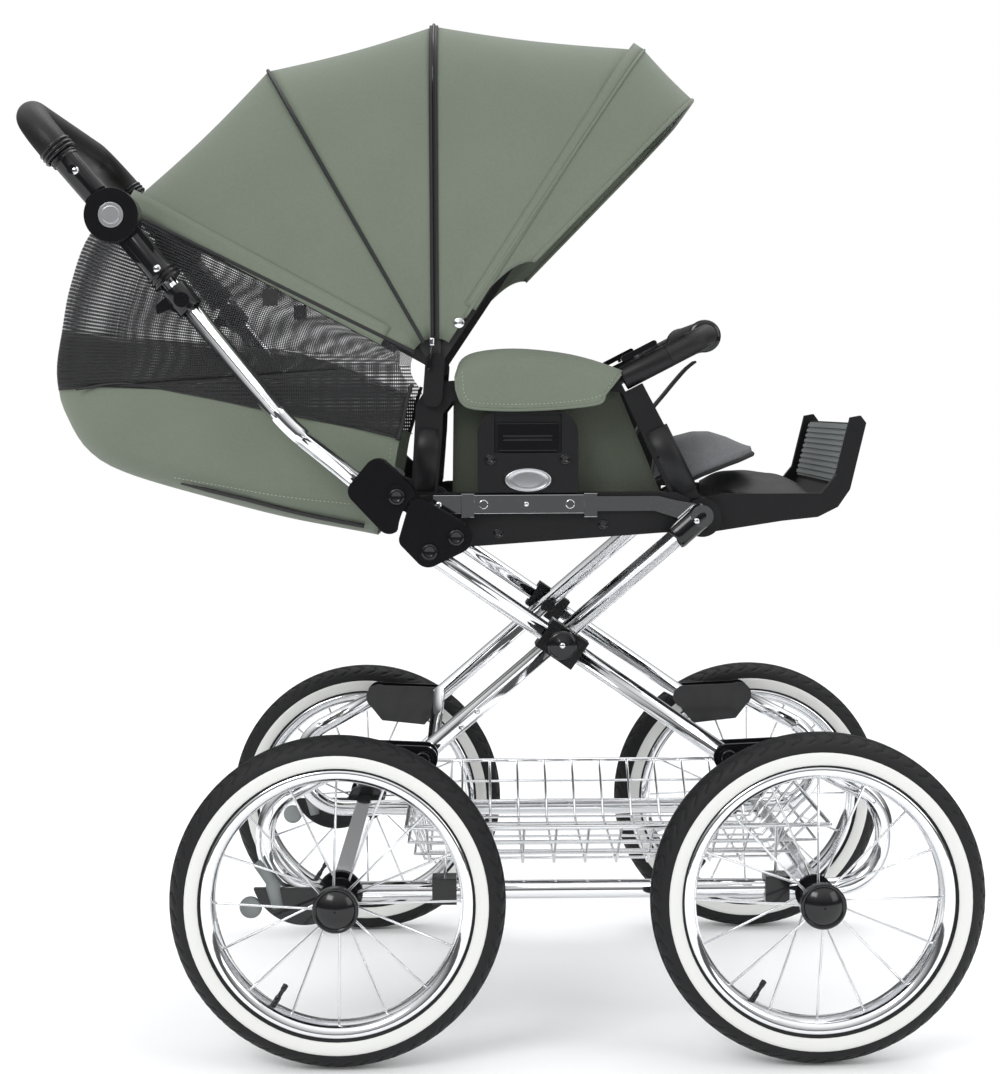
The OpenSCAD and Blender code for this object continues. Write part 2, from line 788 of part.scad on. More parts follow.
// Footrest
module footrest_frame() {
    f = foot_hinge;
    side = [[f[0] - 8, 586], [f[0] + 10, 550], [229, 562], [268, 566], [290, 577], [303, 596],
        [320, 668], [314, 676], [303, 674], [288, 612], [272, 592], [165, 592]];
    color([0.07, 0.07, 0.075]) difference() {
        union() {
            both() slab(footrest_y - 9, footrest_y) {
                polygon(side);
                translate(f) circle(20);
            }
            slab(-footrest_y + 8, footrest_y - 8) polygon([[168, 572], [268, 572], [282, 580], [293, 598],
                [310, 668], [318, 666], [301, 596], [289, 578], [268, 566], [168, 562]]);
        }
        peg(f, pin_r + 0.1, -300, 300);
    }
}

module footboard_tread() {
    a = [292.4, 602];
    b = [308.4, 666];
    u = unit(b - a);
    n = side_of(u);
    ribs = 10;
    color([0.55, 0.57, 0.57]) slab(-118, 118) {
        polygon([a, b, b + n * 2.5, a + n * 2.5]);
        for (i = [0 : ribs - 1]) {
            p = a + u * (3 + i * (norm(b - a) - 6) / (ribs - 0.5)) + n * 2.5;
            polygon([p, p + u * 3.4, p + u * 3.4 + n * 1.5, p + n * 1.5]);
        }
    }
}

// Crowned cushion on a rectangle with round corners: the top swells and the edge draws in,
// and across channels press into it
function bulge(t) = 1 - pow(abs(t), 4);
function squircle(a) = 1 / pow(pow(abs(cos(a)), 4) + pow(abs(sin(a)), 4), 0.25);
module cushion(half_x, half_y, edge, crown, channels = 0, rings = 8, spokes_n = 40) {
    function top_z(x, y) = crown * bulge(x / half_x) * bulge(y / half_y)
        - (channels > 0 ? 3 * pow(abs(cos(180 * channels * (x / half_x + 1) / 2)), 12) * bulge(x / half_x) : 0);
    pts = [
        for (i = [1 : rings]) for (j = [0 : spokes_n - 1])
            let (a = j * 360 / spokes_n, k = sin(90 * i / rings) * squircle(a),
                x = half_x * k * cos(a), y = half_y * k * sin(a))
            [x, y, edge + top_z(x, y)],
        for (j = [0 : spokes_n - 1]) let (a = j * 360 / spokes_n, k = squircle(a) * 0.97)
            [half_x * k * cos(a), half_y * k * sin(a), edge * 0.5],
        for (j = [0 : spokes_n - 1]) let (a = j * 360 / spokes_n, k = squircle(a) * 0.985)
            [half_x * k * cos(a), half_y * k * sin(a), 0],
        [0, 0, edge + top_z(0, 0)], [0, 0, 0]
    ];
    n = spokes_n;
    rows = rings + 2;
    top_c = rows * n;
    faces = [
        for (j = [0 : n - 1]) [top_c, (j + 1) % n, j],
        for (i = [0 : rows - 2]) for (j = [0 : n - 1]) [i * n + j, i * n + (j + 1) % n, (i + 1) * n + j],
        for (i = [0 : rows - 2]) for (j = [0 : n - 1])
            [i * n + (j + 1) % n, (i + 1) * n + (j + 1) % n, (i + 1) * n + j],
        for (j = [0 : n - 1]) [top_c + 1, (rows - 1) * n + j, (rows - 1) * n + (j + 1) % n]
    ];
    polyhedron(pts, faces);
}

pad_half_x = 112;
pad_half_y = seat_y - 41;
module seat_pad() {
    color([0.32, 0.33, 0.34]) translate([0, 0, pan_z1 + 0.3])
        cushion(pad_half_x, pad_half_y, cushion_h * 0.6, cushion_h * 0.4, 3);
}

module calf_pad() {
    color([0.09, 0.09, 0.095]) translate([216, 0, 575.2]) rotate([0, 3, 0])
        cushion(52, footrest_y - 13, 18, 18, 0, 6, 32);
}

panel_y = seat_y - 33;
module seat_side_panels() {
    color(sage) both() slab(panel_y - 2, panel_y + 2)
        polygon([[-132, pan_z1 + 1], [-130, 696], [52, 706], [108, pan_z1 + 28], [104, pan_z1 + 1]]);
}

// Backrest: bent tube with a board
module backrest_frame() {
    r = 8;
    color([0.10, 0.10, 0.10]) difference() {
        union() {
            fan(recline, 180 - back_angle) {
                bent_tube([[-back_half, 6], [-back_half, back_len], [back_half, back_len], [back_half, 6]],
                    60, 0, r);
                translate([-back_half + 4, -3, 46]) cube([2 * back_half - 8, 6, back_len - 60]);
            }
            both() peg(recline, 11, back_half - 8, back_half + 8);
        }
        peg(recline, pin_r + 0.1, -300, 300);
    }
}

// Hood and back shell: arches that fan out from the hood pivot.
// An arch has straight legs, two round corners and a straight crown.
arc_steps = 6;
function arch(w, r, c, start) = concat(
    [[-w, start], [-w, (start + r - c) / 2]],
    [for (i = [0 : arc_steps]) let (a = 180 - 90 * i / arc_steps) [-w + c + c * cos(a), r - c + c * sin(a)]],
    [[0, r + 2]],
    [for (i = [0 : arc_steps]) let (a = 90 - 90 * i / arc_steps) [w - c + c * cos(a), r - c + c * sin(a)]],
    [[w, (start + r - c) / 2], [w, start]]
);
function place(q, a) = [hood_x + q[1] * cos(a), q[0], hood_z + q[1] * sin(a)];

// closed sheet between two grids of points, given row by row
module sheet(outer, inner) {
    rows = len(outer);
    n = len(outer[0]);
    all = concat([for (r = outer) each r], [for (r = inner) each r]);
    k = rows * n;
    function quad(a, b, c, d) = [[a, b, c], [a, c, d]];
    faces = [
        for (i = [0 : rows - 2]) for (j = [0 : n - 2])
            each quad(i * n + j, i * n + j + 1, (i + 1) * n + j + 1, (i + 1) * n + j),
        for (i = [0 : rows - 2]) for (j = [0 : n - 2])
            each quad(k + i * n + j, k + (i + 1) * n + j, k + (i + 1) * n + j + 1, k + i * n + j + 1),
        for (j = [0 : n - 2]) each quad(j, k + j, k + j + 1, j + 1),
        for (j = [0 : n - 2]) each quad((rows - 1) * n + j, (rows - 1) * n + j + 1,
            k + (rows - 1) * n + j + 1, k + (rows - 1) * n + j),
        for (i = [0 : rows - 2]) each quad(i * n, (i + 1) * n, k + (i + 1) * n, k + i * n),
        for (i = [0 : rows - 2]) each quad(i * n + n - 1, k + i * n + n - 1,
            k + (i + 1) * n + n - 1, (i + 1) * n + n - 1)
    ];
    polyhedron(all, faces);
}

// radius on the straight chord between two crowns
function chord(a, a0, r0, a1, r1) = r0 * r1 * sin(a1 - a0) / (r0 * sin(a - a0) + r1 * sin(a1 - a));

fabric_in = seat_y - 0.5;
fabric_gap = 0.15;
module hood_panel(a0, r0, a1, r1, steps, start) {
    angles = [for (i = [0 : steps]) a0 + fabric_gap + (a1 - a0 - 2 * fabric_gap) * i / steps];
    inner = [for (a = angles) let (r = chord(a, a0, r0, a1, r1))
        [for (q = arch(fabric_in, r, bow_corner, start)) place(q, a)]];
    outer = [for (a = angles) let (r = chord(a, a0, r0, a1, r1))
        [for (q = arch(fabric_in + hood_t, r + hood_t, bow_corner + hood_t, start)) place(q, a)]];
    sheet(outer, inner);
}

front_angle = 56;
visor_angle = 45.5;
middle_angle = 90;
rear_angle = 119.6;
edge_angle = 152;
hood_start = 46;
module hood_rear_panel() {
    color(sage) hood_panel(rear_angle, crown_r, edge_angle + 1, edge_r, 4, hood_start);
}
module hood_mid_panel() {
    color(sage) hood_panel(middle_angle, crown_r, rear_angle, crown_r, 3, hood_start);
}
module hood_front_panel() {
    color(sage) hood_panel(front_angle, front_r, middle_angle, crown_r, 3, hood_start);
}
module hood_visor() {
    color(sage) hood_panel(visor_angle, visor_r, front_angle, front_r, 2, 165);
}

// Back shell outline: crown radius at a few directions from the hood pivot
shell_line = [[153.6, 386], [163, 404], [174, 414], [187, 416], [193, 402], [199, 366],
    [211, 296], [228, 238], [247, 208]];
module back_shell() {
    function start(a) = 48 + (a - 153) * 0.34;
    function corner(r) = min(60, r * 0.22);
    inner = [for (s = shell_line) [for (q = arch(fabric_in, s[1], corner(s[1]), start(s[0]))) place(q, s[0])]];
    outer = [for (s = shell_line) [for (q = arch(fabric_in + hood_t, s[1] + hood_t,
        corner(s[1]) + hood_t, start(s[0]))) place(q, s[0])]];
    color([0.20, 0.22, 0.20]) sheet(inner, outer);
}

// Flat hood bows, stacked side by side at the pivot
bow_t = 3;
bow_pitch = bow_t + 0.4;
bow_wide = 12;
module arch_shape(w, r, c) {
    translate([-w, 0]) square([2 * w, r - c]);
    translate([-w + c, 0]) square([2 * (w - c), r]);
    for (x = [-w + c, w - c]) translate([x, r - c]) circle(c, $fn = 64);
}

module bow(layer, angle, r) {
    w = seat_y - 2 - layer * bow_pitch;
    color([0.13, 0.13, 0.13]) difference() {
        union() {
            fan(hood, angle) slab(-bow_wide / 2, bow_wide / 2) difference() {
                arch_shape(w, r, bow_corner - 1);
                translate([0, -1]) arch_shape(w - bow_t, r - bow_t + 1, bow_corner - 1 - bow_t);
            }
            both() peg(hood, 10, w - bow_t + 0.05, w - 0.05);
        }
        peg(hood, 4 + run_gap, -300, 300);
    }
}

module middle_bow() { bow(0, middle_angle, crown_r - 2.8); }
module rear_bow() { bow(1, rear_angle, crown_r - 2.8); }
module front_bow() { bow(2, front_angle, front_r - 4.4); }
module edge_bow() { bow(3, edge_angle - 1, edge_r - 8); }

at_wheel(1, 1) tyre();  // front_left_tyre
at_wheel(1, 1) rim();  // front_left_rim
at_wheel(1, 1) spokes();  // front_left_spokes
at_wheel(1, 1) hub();  // front_left_hub
at_wheel(1, -1) tyre();  // front_right_tyre
at_wheel(1, -1) rim();  // front_right_rim
at_wheel(1, -1) spokes();  // front_right_spokes
at_wheel(1, -1) hub();  // front_right_hub
at_wheel(-1, 1) tyre();  // rear_left_tyre
at_wheel(-1, 1) rim();  // rear_left_rim
at_wheel(-1, 1) spokes();  // rear_left_spokes
at_wheel(-1, 1) hub();  // rear_left_hub
at_wheel(-1, -1) tyre();  // rear_right_tyre
at_wheel(-1, -1) rim();  // rear_right_rim
at_wheel(-1, -1) spokes();  // rear_right_spokes
at_wheel(-1, -1) hub();  // rear_right_hub
spring_frames();
axles();
wire_basket();
basket_clips();
brake_lever(1);  // brake_lever_left
brake_lever(-1);  // brake_lever_right
links(1);  // front_links
links(-1);  // rear_links
outer_frame();
lower_fold_casings();
inner_frame();
crossing_clamps();
rail_strips();
handle_tubes();
upper_fold_casings();
handle_sockets();
fold_triggers();
adjuster_button(1);  // adjuster_button_left
adjuster_button(-1);  // adjuster_button_right
handle_arms();
handle_grip();
seat_base();
seat_rails();
side_plates();
release_handles();
armrest_frame();
armrest_covers();
seat_pad();
seat_side_panels();
bumper_bar();
bumper_buttons();
footrest_frame();
calf_pad();
footboard_tread();
backrest_frame();
back_shell();
hood_rear_panel();
hood_mid_panel();
hood_front_panel();
hood_visor();
rear_bow();
middle_bow();
front_bow();
edge_bow();
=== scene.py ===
# Retro pram: fabric, tyres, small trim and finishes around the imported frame.
# Lengths are in millimetres inside the functions; newPiece turns them into metres.
import json
import math

import bmesh
import bpy
import numpy as np
from mathutils import Matrix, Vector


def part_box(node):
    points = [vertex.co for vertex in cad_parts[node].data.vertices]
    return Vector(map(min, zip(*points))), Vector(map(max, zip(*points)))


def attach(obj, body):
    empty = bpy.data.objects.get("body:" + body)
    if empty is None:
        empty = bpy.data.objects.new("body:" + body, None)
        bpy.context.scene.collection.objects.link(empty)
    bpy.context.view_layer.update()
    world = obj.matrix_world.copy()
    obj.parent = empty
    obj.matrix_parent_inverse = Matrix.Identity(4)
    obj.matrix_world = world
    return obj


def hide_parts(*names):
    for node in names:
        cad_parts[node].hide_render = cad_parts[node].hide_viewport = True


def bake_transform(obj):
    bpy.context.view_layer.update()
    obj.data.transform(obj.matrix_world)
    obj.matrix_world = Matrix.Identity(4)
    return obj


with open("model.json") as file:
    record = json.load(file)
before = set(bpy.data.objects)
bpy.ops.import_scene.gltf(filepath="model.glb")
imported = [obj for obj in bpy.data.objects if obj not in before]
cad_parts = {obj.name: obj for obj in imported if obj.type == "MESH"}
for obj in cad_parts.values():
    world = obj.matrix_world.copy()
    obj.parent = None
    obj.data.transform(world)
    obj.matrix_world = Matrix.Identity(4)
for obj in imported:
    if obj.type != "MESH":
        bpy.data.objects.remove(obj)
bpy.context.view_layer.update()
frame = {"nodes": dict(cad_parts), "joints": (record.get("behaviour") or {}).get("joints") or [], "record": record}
print("frame loaded:", len(frame["nodes"]), "nodes")

mm = 0.001
jointAt = {j["name"]: np.array(j["pos_m"]) / mm for j in frame["joints"] if j.get("pos_m")}
hoodPivot = jointAt["rear_bow_fold"][[0, 2]]


def nodeBox(node):  # lowest and highest corner of a frame node, in millimetres
    low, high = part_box(node)
    return np.array(low) / mm, np.array(high) / mm


# Surfaces

def gridFaces(rows, cols, wrapRows=False, wrapCols=False, first=0):
    # quads between neighbouring rows and columns of a grid numbered row by row
    i = np.arange(rows if wrapRows else rows - 1)
    j = np.arange(cols if wrapCols else cols - 1)
    i, j = np.meshgrid(i, j, indexing="ij")
    up, side = (i + 1) % rows, (j + 1) % cols
    quads = np.stack([i * cols + j, up * cols + j, up * cols + side, i * cols + side], -1)
    return quads.reshape(-1, 4) + first


def newPiece(name, points, quads, material, body, slotName, triangles=None, uv=None, smooth=True):
    # points in millimetres; uv holds one pair for each point
    mesh = bpy.data.meshes.new(name)
    faces = quads.tolist() + ([] if triangles is None else triangles.tolist())
    mesh.from_pydata((points * mm).tolist(), [], faces)
    if uv is not None:
        layer = mesh.uv_layers.new(name="UVMap")
        loops = np.empty(len(mesh.loops), dtype=np.int32)
        mesh.loops.foreach_get("vertex_index", loops)
        layer.data.foreach_set("uv", (uv[loops] * mm).astype(np.float32).ravel())
    mesh.polygons.foreach_set("use_smooth", np.full(len(mesh.polygons), smooth))
    mesh.update()
    mesh.validate()
    piece = bpy.data.objects.new(name, mesh)
    bpy.context.scene.collection.objects.link(piece)
    mesh.materials.append(material)
    if body:
        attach(piece, body)
    return piece


def joined(parts):
    # several (points, quads) pairs as one
    points, quads, first = [], [], 0
    for p, q in parts:
        points.append(p)
        quads.append(q + first)
        first += len(p)
    return np.concatenate(points), np.concatenate(quads)


def mirrored(points, quads):
    # the same surface on the other side of the middle plane, still facing outwards
    return points * np.array([1, -1, 1]), quads[:, ::-1]


def bothSides(points, quads):
    return joined([(points, quads), mirrored(points, quads)])


def tangents(path):
    along = np.gradient(path, axis=0)
    return along / np.linalg.norm(along, axis=1, keepdims=True)


def tube(path, radius, normal, sides=12, closed=False):
    # circle of the given radius carried along a path that lies square to normal;
    # each open end is shut with a small inner ring
    path = np.asarray(path, float)
    if closed:
        along = np.roll(path, -1, 0) - np.roll(path, 1, 0)
        along /= np.linalg.norm(along, axis=1, keepdims=True)
    else:
        along = tangents(path)
    n = np.broadcast_to(np.asarray(normal, float), path.shape)
    out = np.cross(along, n)
    out /= np.linalg.norm(out, axis=1, keepdims=True)
    n = np.cross(out, along)
    radius = np.broadcast_to(np.asarray(radius, float), len(path))
    turn = np.linspace(0, 2 * math.pi, sides, endpoint=False)
    ring = np.cos(turn)[None, :, None] * out[:, None] + np.sin(turn)[None, :, None] * n[:, None]
    points = path[:, None] + ring * radius[:, None, None]
    if not closed:
        points = np.concatenate([path[None, :1] + ring[:1] * 0.02, points, path[None, -1:] + ring[-1:] * 0.02])
    rows = len(points)
    return points.reshape(-1, 3), gridFaces(rows, sides, wrapRows=closed, wrapCols=True)


def turned(profile, centre, axis, steps=48, start=0.0):
    # profile pairs (radius, distance along the axis) turned round the axis through centre
    profile = np.asarray(profile, float)
    axis = np.asarray(axis, float) / np.linalg.norm(axis)
    first = np.cross(axis, [0.0, 0.0, 1.0] if abs(axis[2]) < 0.9 else [1.0, 0.0, 0.0])
    first /= np.linalg.norm(first)
    second = np.cross(axis, first)
    turn = start + np.linspace(0, 2 * math.pi, steps, endpoint=False)
    spin = np.cos(turn)[:, None] * first + np.sin(turn)[:, None] * second
    points = np.asarray(centre, float) + profile[None, :, :1] * spin[:, None] \
        + profile[None, :, 1:] * axis
    return points.reshape(-1, 3), gridFaces(steps, len(profile), wrapRows=True)


def smoothLine(points, count, closed=False):
    # points spaced evenly by length on a smooth curve through the given ones
    p = np.asarray(points, float)
    if closed:
        p = np.concatenate([p[-1:], p, p[:2]])
    else:
        p = np.concatenate([2 * p[:1] - p[1:2], p, 2 * p[-1:] - p[-2:-1]])
    t = np.linspace(0, 1, 25)[:, None]
    parts = []
    for a, b, c, d in zip(p[:-3], p[1:-2], p[2:-1], p[3:]):
        parts.append(0.5 * (2 * b + (c - a) * t + (2 * a - 5 * b + 4 * c - d) * t**2
                            + (3 * b - a - 3 * c + d) * t**3))
    line = np.concatenate([q[:-1] for q in parts] + [parts[-1][-1:]])
    length = np.concatenate([[0], np.cumsum(np.linalg.norm(np.diff(line, axis=0), axis=1))])
    at = np.linspace(0, length[-1], count, endpoint=not closed)
    return np.stack([np.interp(at, length, line[:, k]) for k in range(line.shape[1])], 1)


def inPlane(line, y):
    # pairs (x, z) as points at one y
    line = np.asarray(line, float)
    return np.stack([line[:, 0], np.full(len(line), float(y)), line[:, 1]], 1)


def roundedBends(corners, bend, step=5.0):
    # polyline in a plane whose inner corners are arcs of the bend radius
    corners = np.asarray(corners, float)
    line = [corners[0]]
    for before, here, after in zip(corners[:-2], corners[1:-1], corners[2:]):
        a = (before - here) / np.linalg.norm(before - here)
        b = (after - here) / np.linalg.norm(after - here)
        half = math.acos(np.clip(np.dot(a, b), -1, 1)) / 2
        cut = bend / math.tan(half)
        middle = here + (a + b) / np.linalg.norm(a + b) * bend / math.sin(half)
        p, q = here + a * cut - middle, here + b * cut - middle
        sweep = math.acos(np.clip(np.dot(p, q) / bend**2, -1, 1))
        t = np.linspace(0, 1, max(3, int(bend * sweep / step)))[:, None]
        arc = (np.sin((1 - t) * sweep) * p + np.sin(t * sweep) * q) / math.sin(sweep)
        line += list(middle + arc)
    return np.array(line + [corners[-1]])


# Materials

class Signal:  # a node's output that takes part in sums and products
    def __init__(self, shader, socket):
        self.shader, self.socket = shader, socket

    def maths(self, operation, *others):
        return self.shader.add("ShaderNodeMath", {"operation": operation}, self, *others)[0]

    def __add__(self, other):
        return self.maths("ADD", other)

    def __sub__(self, other):
        return self.maths("SUBTRACT", other)

    def __rsub__(self, other):
        return (self * -1.0).maths("ADD", other)

    def __mul__(self, other):
        return self.maths("MULTIPLY", other)

    def __pow__(self, other):
        return self.maths("POWER", other)

    def __gt__(self, other):
        return self.maths("GREATER_THAN", other)

    def sine(self):
        return self.maths("SINE")

    def absolute(self):
        return self.maths("ABSOLUTE")

    def clipped(self):
        return self.maths("MINIMUM", 1.0).maths("MAXIMUM", 0.0)

    __radd__, __rmul__ = __add__, __mul__


class Shader:
    def __init__(self, name, colour, rough, metal=0.0, **fixed):
        self.material = bpy.data.materials.new(name)
        self.material.use_nodes = True
        self.tree = self.material.node_tree
        self.surface = self.tree.nodes["Principled BSDF"]
        self.set("Base Color", (*colour, 1.0))
        self.set("Roughness", rough)
        self.set("Metallic", metal)
        for socket, value in fixed.items():
            self.set(socket.replace("_", " "), value)

    def set(self, socket, value):
        if isinstance(value, Signal):
            self.tree.links.new(value.socket, self.surface.inputs[socket])
        else:
            self.surface.inputs[socket].default_value = value

    def add(self, kind, settings, *values):
        # settings first, then values or links for the inputs in order or by name
        node = self.tree.nodes.new(kind)
        for key, value in settings.items():
            setattr(node, key, value)
        pairs = values[0].items() if values and isinstance(values[0], dict) else enumerate(values)
        for key, value in pairs:
            if isinstance(value, Signal):
                self.tree.links.new(value.socket, node.inputs[key])
            else:
                node.inputs[key].default_value = value
        return [Signal(self, out) for out in node.outputs]

    def place(self, kind="Object"):
        node = self.tree.nodes.new("ShaderNodeTexCoord")
        return Signal(self, node.outputs[kind])

    def axes(self, place):
        return self.add("ShaderNodeSeparateXYZ", {}, place)

    def noise(self, scale, detail=3.0, place=None):
        return self.add("ShaderNodeTexNoise", {}, {"Vector": place or self.place(), "Scale": scale, "Detail": detail})[0]

    def blend(self, amount, low, high):
        # colour between low and high
        out = self.add("ShaderNodeMix", {"data_type": "RGBA"},
                       {0: amount, 6: low if isinstance(low, Signal) else (*low, 1.0),
                        7: high if isinstance(high, Signal) else (*high, 1.0)})
        return out[2]

    def bump(self, height, strength, distance=0.001):
        self.set("Normal", self.add("ShaderNodeBump", {}, {"Strength": strength, "Distance": distance,
                                                           "Height": height})[0])


def chromeFinish(name="pram_chrome", rough=0.055):
    s = Shader(name, (0.80, 0.81, 0.83), rough, 1.0)
    s.set("Roughness", s.noise(28.0) * 0.05 + (rough - 0.02))
    return s.material


def plasticFinish(name, colour, rough, grain, coat=0.0):
    s = Shader(name, colour, rough, Coat_Weight=coat, Coat_Roughness=0.08, Specular_IOR_Level=0.28)
    s.set("Roughness", s.noise(60.0) * 0.10 + (rough - 0.05))
    s.bump(s.noise(900.0, 2.0), grain, 0.0004)
    return s.material


def weave(s, pitch):
    # twill: raised diagonal threads with a finer cross rib, from the cloth's own map
    u, v, _ = s.axes(s.place("UV"))
    diagonal = ((u + v) * (2 * math.pi / pitch)).sine() * 0.5 + 0.5
    cross = ((u - v) * (4 * math.pi / pitch)).sine() * 0.5 + 0.5
    return diagonal * 0.7 + cross * 0.3


def clothFinish(name, dark, light, pitch=0.0011, rough=0.88, mottle=420.0):
    s = Shader(name, light, rough, Sheen_Weight=0.12, Sheen_Roughness=0.5)
    thread = weave(s, pitch)
    heather = s.noise(mottle, 4.0)
    soft = s.noise(14.0, 3.0)
    s.set("Base Color", s.blend((thread * 0.25 + heather * 0.5 + soft * 0.3).clipped(), dark, light))
    s.bump(thread * 0.6 + heather * 0.4, 0.35, 0.0004)
    return s.material


def netFinish(name, colour, cover, pitch=0.0026):
    # net of small round holes in offset rows: thread where the two waves are low
    s = Shader(name, colour, 0.75)
    u, v, _ = s.axes(s.place("UV"))
    a = ((u * 0.87 + v * 0.5) * (2 * math.pi / pitch)).sine()
    b = ((u * 0.87 - v * 0.5) * (2 * math.pi / pitch)).sine()
    hole = (a * b + 0.15) * 1.6
    s.set("Alpha", (cover + 0.32 - hole * 0.5).clipped())
    s.set("Base Color", s.blend(hole.clipped(), colour, tuple(0.5 * c for c in colour)))
    return s.material


def leatherFinish(name, colour, rough=0.42):
    s = Shader(name, colour, rough, Coat_Weight=0.05, Specular_IOR_Level=0.25)
    pores = s.add("ShaderNodeTexVoronoi", {"feature": "DISTANCE_TO_EDGE"},
                  {"Vector": s.place(), "Scale": 520.0})[0]
    s.set("Roughness", s.noise(40.0) * 0.15 + (rough - 0.06))
    s.bump((pores * 3.0).clipped() + s.noise(30.0) * 0.4, 0.35, 0.0005)
    return s.material


def tyreFinish():
    s = Shader("tyre_rubber", (0.009, 0.009, 0.010), 0.62, Specular_IOR_Level=0.28)
    s.set("Roughness", s.noise(70.0) * 0.2 + 0.50)
    s.bump(s.noise(600.0), 0.2, 0.0004)
    return s.material


def plainFinish(name, colour, rough, metal=0.0):
    s = Shader(name, colour, rough, metal)
    s.set("Roughness", s.noise(90.0) * 0.08 + (rough - 0.04))
    return s.material


sageLight, sageDark = (0.153, 0.177, 0.136), (0.098, 0.117, 0.087)
look = {
    "chrome_tube": chromeFinish(),
    "chrome_rim": chromeFinish("rim_chrome", 0.07),
    "chrome_wire": chromeFinish("wire_chrome", 0.12),
    "spoke_wire": chromeFinish("spoke_chrome", 0.14),
    "gloss_black": plasticFinish("gloss_black_plastic", (0.005, 0.005, 0.006), 0.18, 0.04, 0.35),
    "hub_plastic": plasticFinish("hub_cap_plastic", (0.006, 0.006, 0.007), 0.20, 0.04, 0.35),
    "matte_black": plasticFinish("matte_black_plastic", (0.008, 0.008, 0.009), 0.42, 0.22),
    "silver_button": plainFinish("satin_silver", (0.55, 0.56, 0.58), 0.30, 0.9),
    "grip_leather": leatherFinish("grip_leatherette", (0.009, 0.0085, 0.0085)),
    "black_leather": leatherFinish("bar_leatherette", (0.012, 0.012, 0.013)),
    "sage_fabric": clothFinish("sage_twill", sageDark, sageLight),
    "black_fabric": clothFinish("black_lining", (0.006, 0.006, 0.007), (0.022, 0.022, 0.023)),
    # sage cloth colour darkened to about half: painted shade for the recess between the armrest posts
    "shade_darkened_sage": clothFinish("shade_darkened_sage", (0.040, 0.048, 0.034), (0.072, 0.084, 0.062)),
    "melange_fabric": clothFinish("grey_melange", (0.045, 0.047, 0.050), (0.17, 0.175, 0.185), mottle=260.0),
    "grey_tread": plainFinish("grey_rubber", (0.20, 0.215, 0.215), 0.6),
    "bow_steel": plainFinish("black_steel", (0.02, 0.02, 0.02), 0.5),
    "tyre": tyreFinish(),
    "white_wall": plainFinish("white_rubber", (0.66, 0.66, 0.64), 0.55),
    "window_net": netFinish("grey_window_net", (0.020, 0.020, 0.022), 0.34, 0.0042),
    "band_net": netFinish("black_band_net", (0.010, 0.010, 0.011), 0.84, 0.0042),
    "piping": plainFinish("black_piping", (0.010, 0.010, 0.011), 0.55),
    "stitch": plainFinish("sage_thread", (0.33, 0.37, 0.30), 0.7),
    "dark_stitch": plainFinish("grey_thread", (0.10, 0.10, 0.10), 0.7),
    "bright": plainFinish("bright_rivet", (0.72, 0.73, 0.75), 0.16, 1.0),
    "dark_flap": clothFinish("dark_piping_cloth", (0.008, 0.008, 0.009), (0.02, 0.02, 0.02)),
}
print("materials made:", len(look))


# Frame nodes that keep their shape: finish, welded corners and a small edge radius

edges = {  # node: edge radius in millimetres
    "lower_fold_casings": 3.0, "upper_fold_casings": 3.0, "handle_sockets": 1.6, "handle_arms": 1.6,
    "front_links": 2.0, "rear_links": 2.0, "crossing_clamps": 2.2, "basket_clips": 2.0,
    "brake_lever_left": 2.0, "brake_lever_right": 2.0, "fold_triggers": 1.6, "seat_base": 2.2,
    "side_plates": 1.2, "release_handles": 1.0, "armrest_frame": 3.0, "footrest_frame": 4.5,
    "seat_rails": 0.5, "axles": 1.2, "bumper_buttons": 0.8, "backrest_frame": 1.0,
    "adjuster_button_left": 0.8, "adjuster_button_right": 0.8,
}
slotOf = {p["node"]: p["material_slot"] for p in frame["record"]["subparts"]}
for nodeName, node in frame["nodes"].items():
    node.data.materials.clear()
    node.data.materials.append(look[slotOf[nodeName]])
    weld = node.modifiers.new("weld", "WELD")
    weld.merge_threshold = 0.00002
    if nodeName in edges:
        flat = node.modifiers.new("flat", "DECIMATE")
        flat.decimate_type = "DISSOLVE"
        flat.angle_limit = math.radians(1.0)
        bevel = node.modifiers.new("edge", "BEVEL")
        bevel.width = edges[nodeName] * mm
        bevel.segments = 3
        bevel.limit_method = "ANGLE"
        bevel.angle_limit = math.radians(18 if nodeName == "footrest_frame" else 38)
        bevel.harden_normals = True
print("frame nodes finished")


# Tyres, white walls and valve stems

tyre = {"radius": 175.0, "halfWidth": 22.0, "bead": 141.0, "waves": 60, "depth": 1.7,
        "wallFrom": 143.5, "wallTo": 157.0}


def tyreSurface(centre):
    # a circle turned round the axle, cut flat at the bead; wavy grooves sink into the tread
    r = tyre["halfWidth"]
    middle = tyre["radius"] - r
    last = math.acos((tyre["bead"] - middle) / r)
    a = np.concatenate([np.linspace(-last, -1.15, 8), np.linspace(-1.05, 1.05, 34), np.linspace(1.15, last, 8)])
    turn = np.linspace(0, 2 * math.pi, 12 * tyre["waves"], endpoint=False)
    across, turn = a[None, :] * r, turn[:, None]
    phase = tyre["waves"] * turn
    ring = np.exp(-((np.abs(across) - 6.5 - 1.6 * np.sin(phase)) / 0.8) ** 2)
    bar = (phase / (2 * math.pi) + 0.30 * np.sin(across * 0.35)) % 1.0
    cut = np.exp(-((bar - 0.5) / 0.09) ** 2) * (np.abs(across) > 7.5) * (np.abs(across) < 21)
    rib = np.exp(-(across / 0.7) ** 2) * 0.7
    sink = tyre["depth"] * np.clip(np.maximum(np.maximum(ring, cut), rib), 0, 1) * (np.abs(across) < 23)
    rr = r - 0.05 - sink
    out = middle + rr * np.cos(a)[None, :]
    side = rr * np.sin(a)[None, :] * np.ones_like(turn)
    points = np.stack([centre[0] + out * np.cos(turn), centre[1] + side, centre[2] + out * np.sin(turn)], -1)
    rows, cols = points.shape[:2]
    return points.reshape(-1, 3), gridFaces(rows, cols, wrapRows=True, wrapCols=True)[:, ::-1]


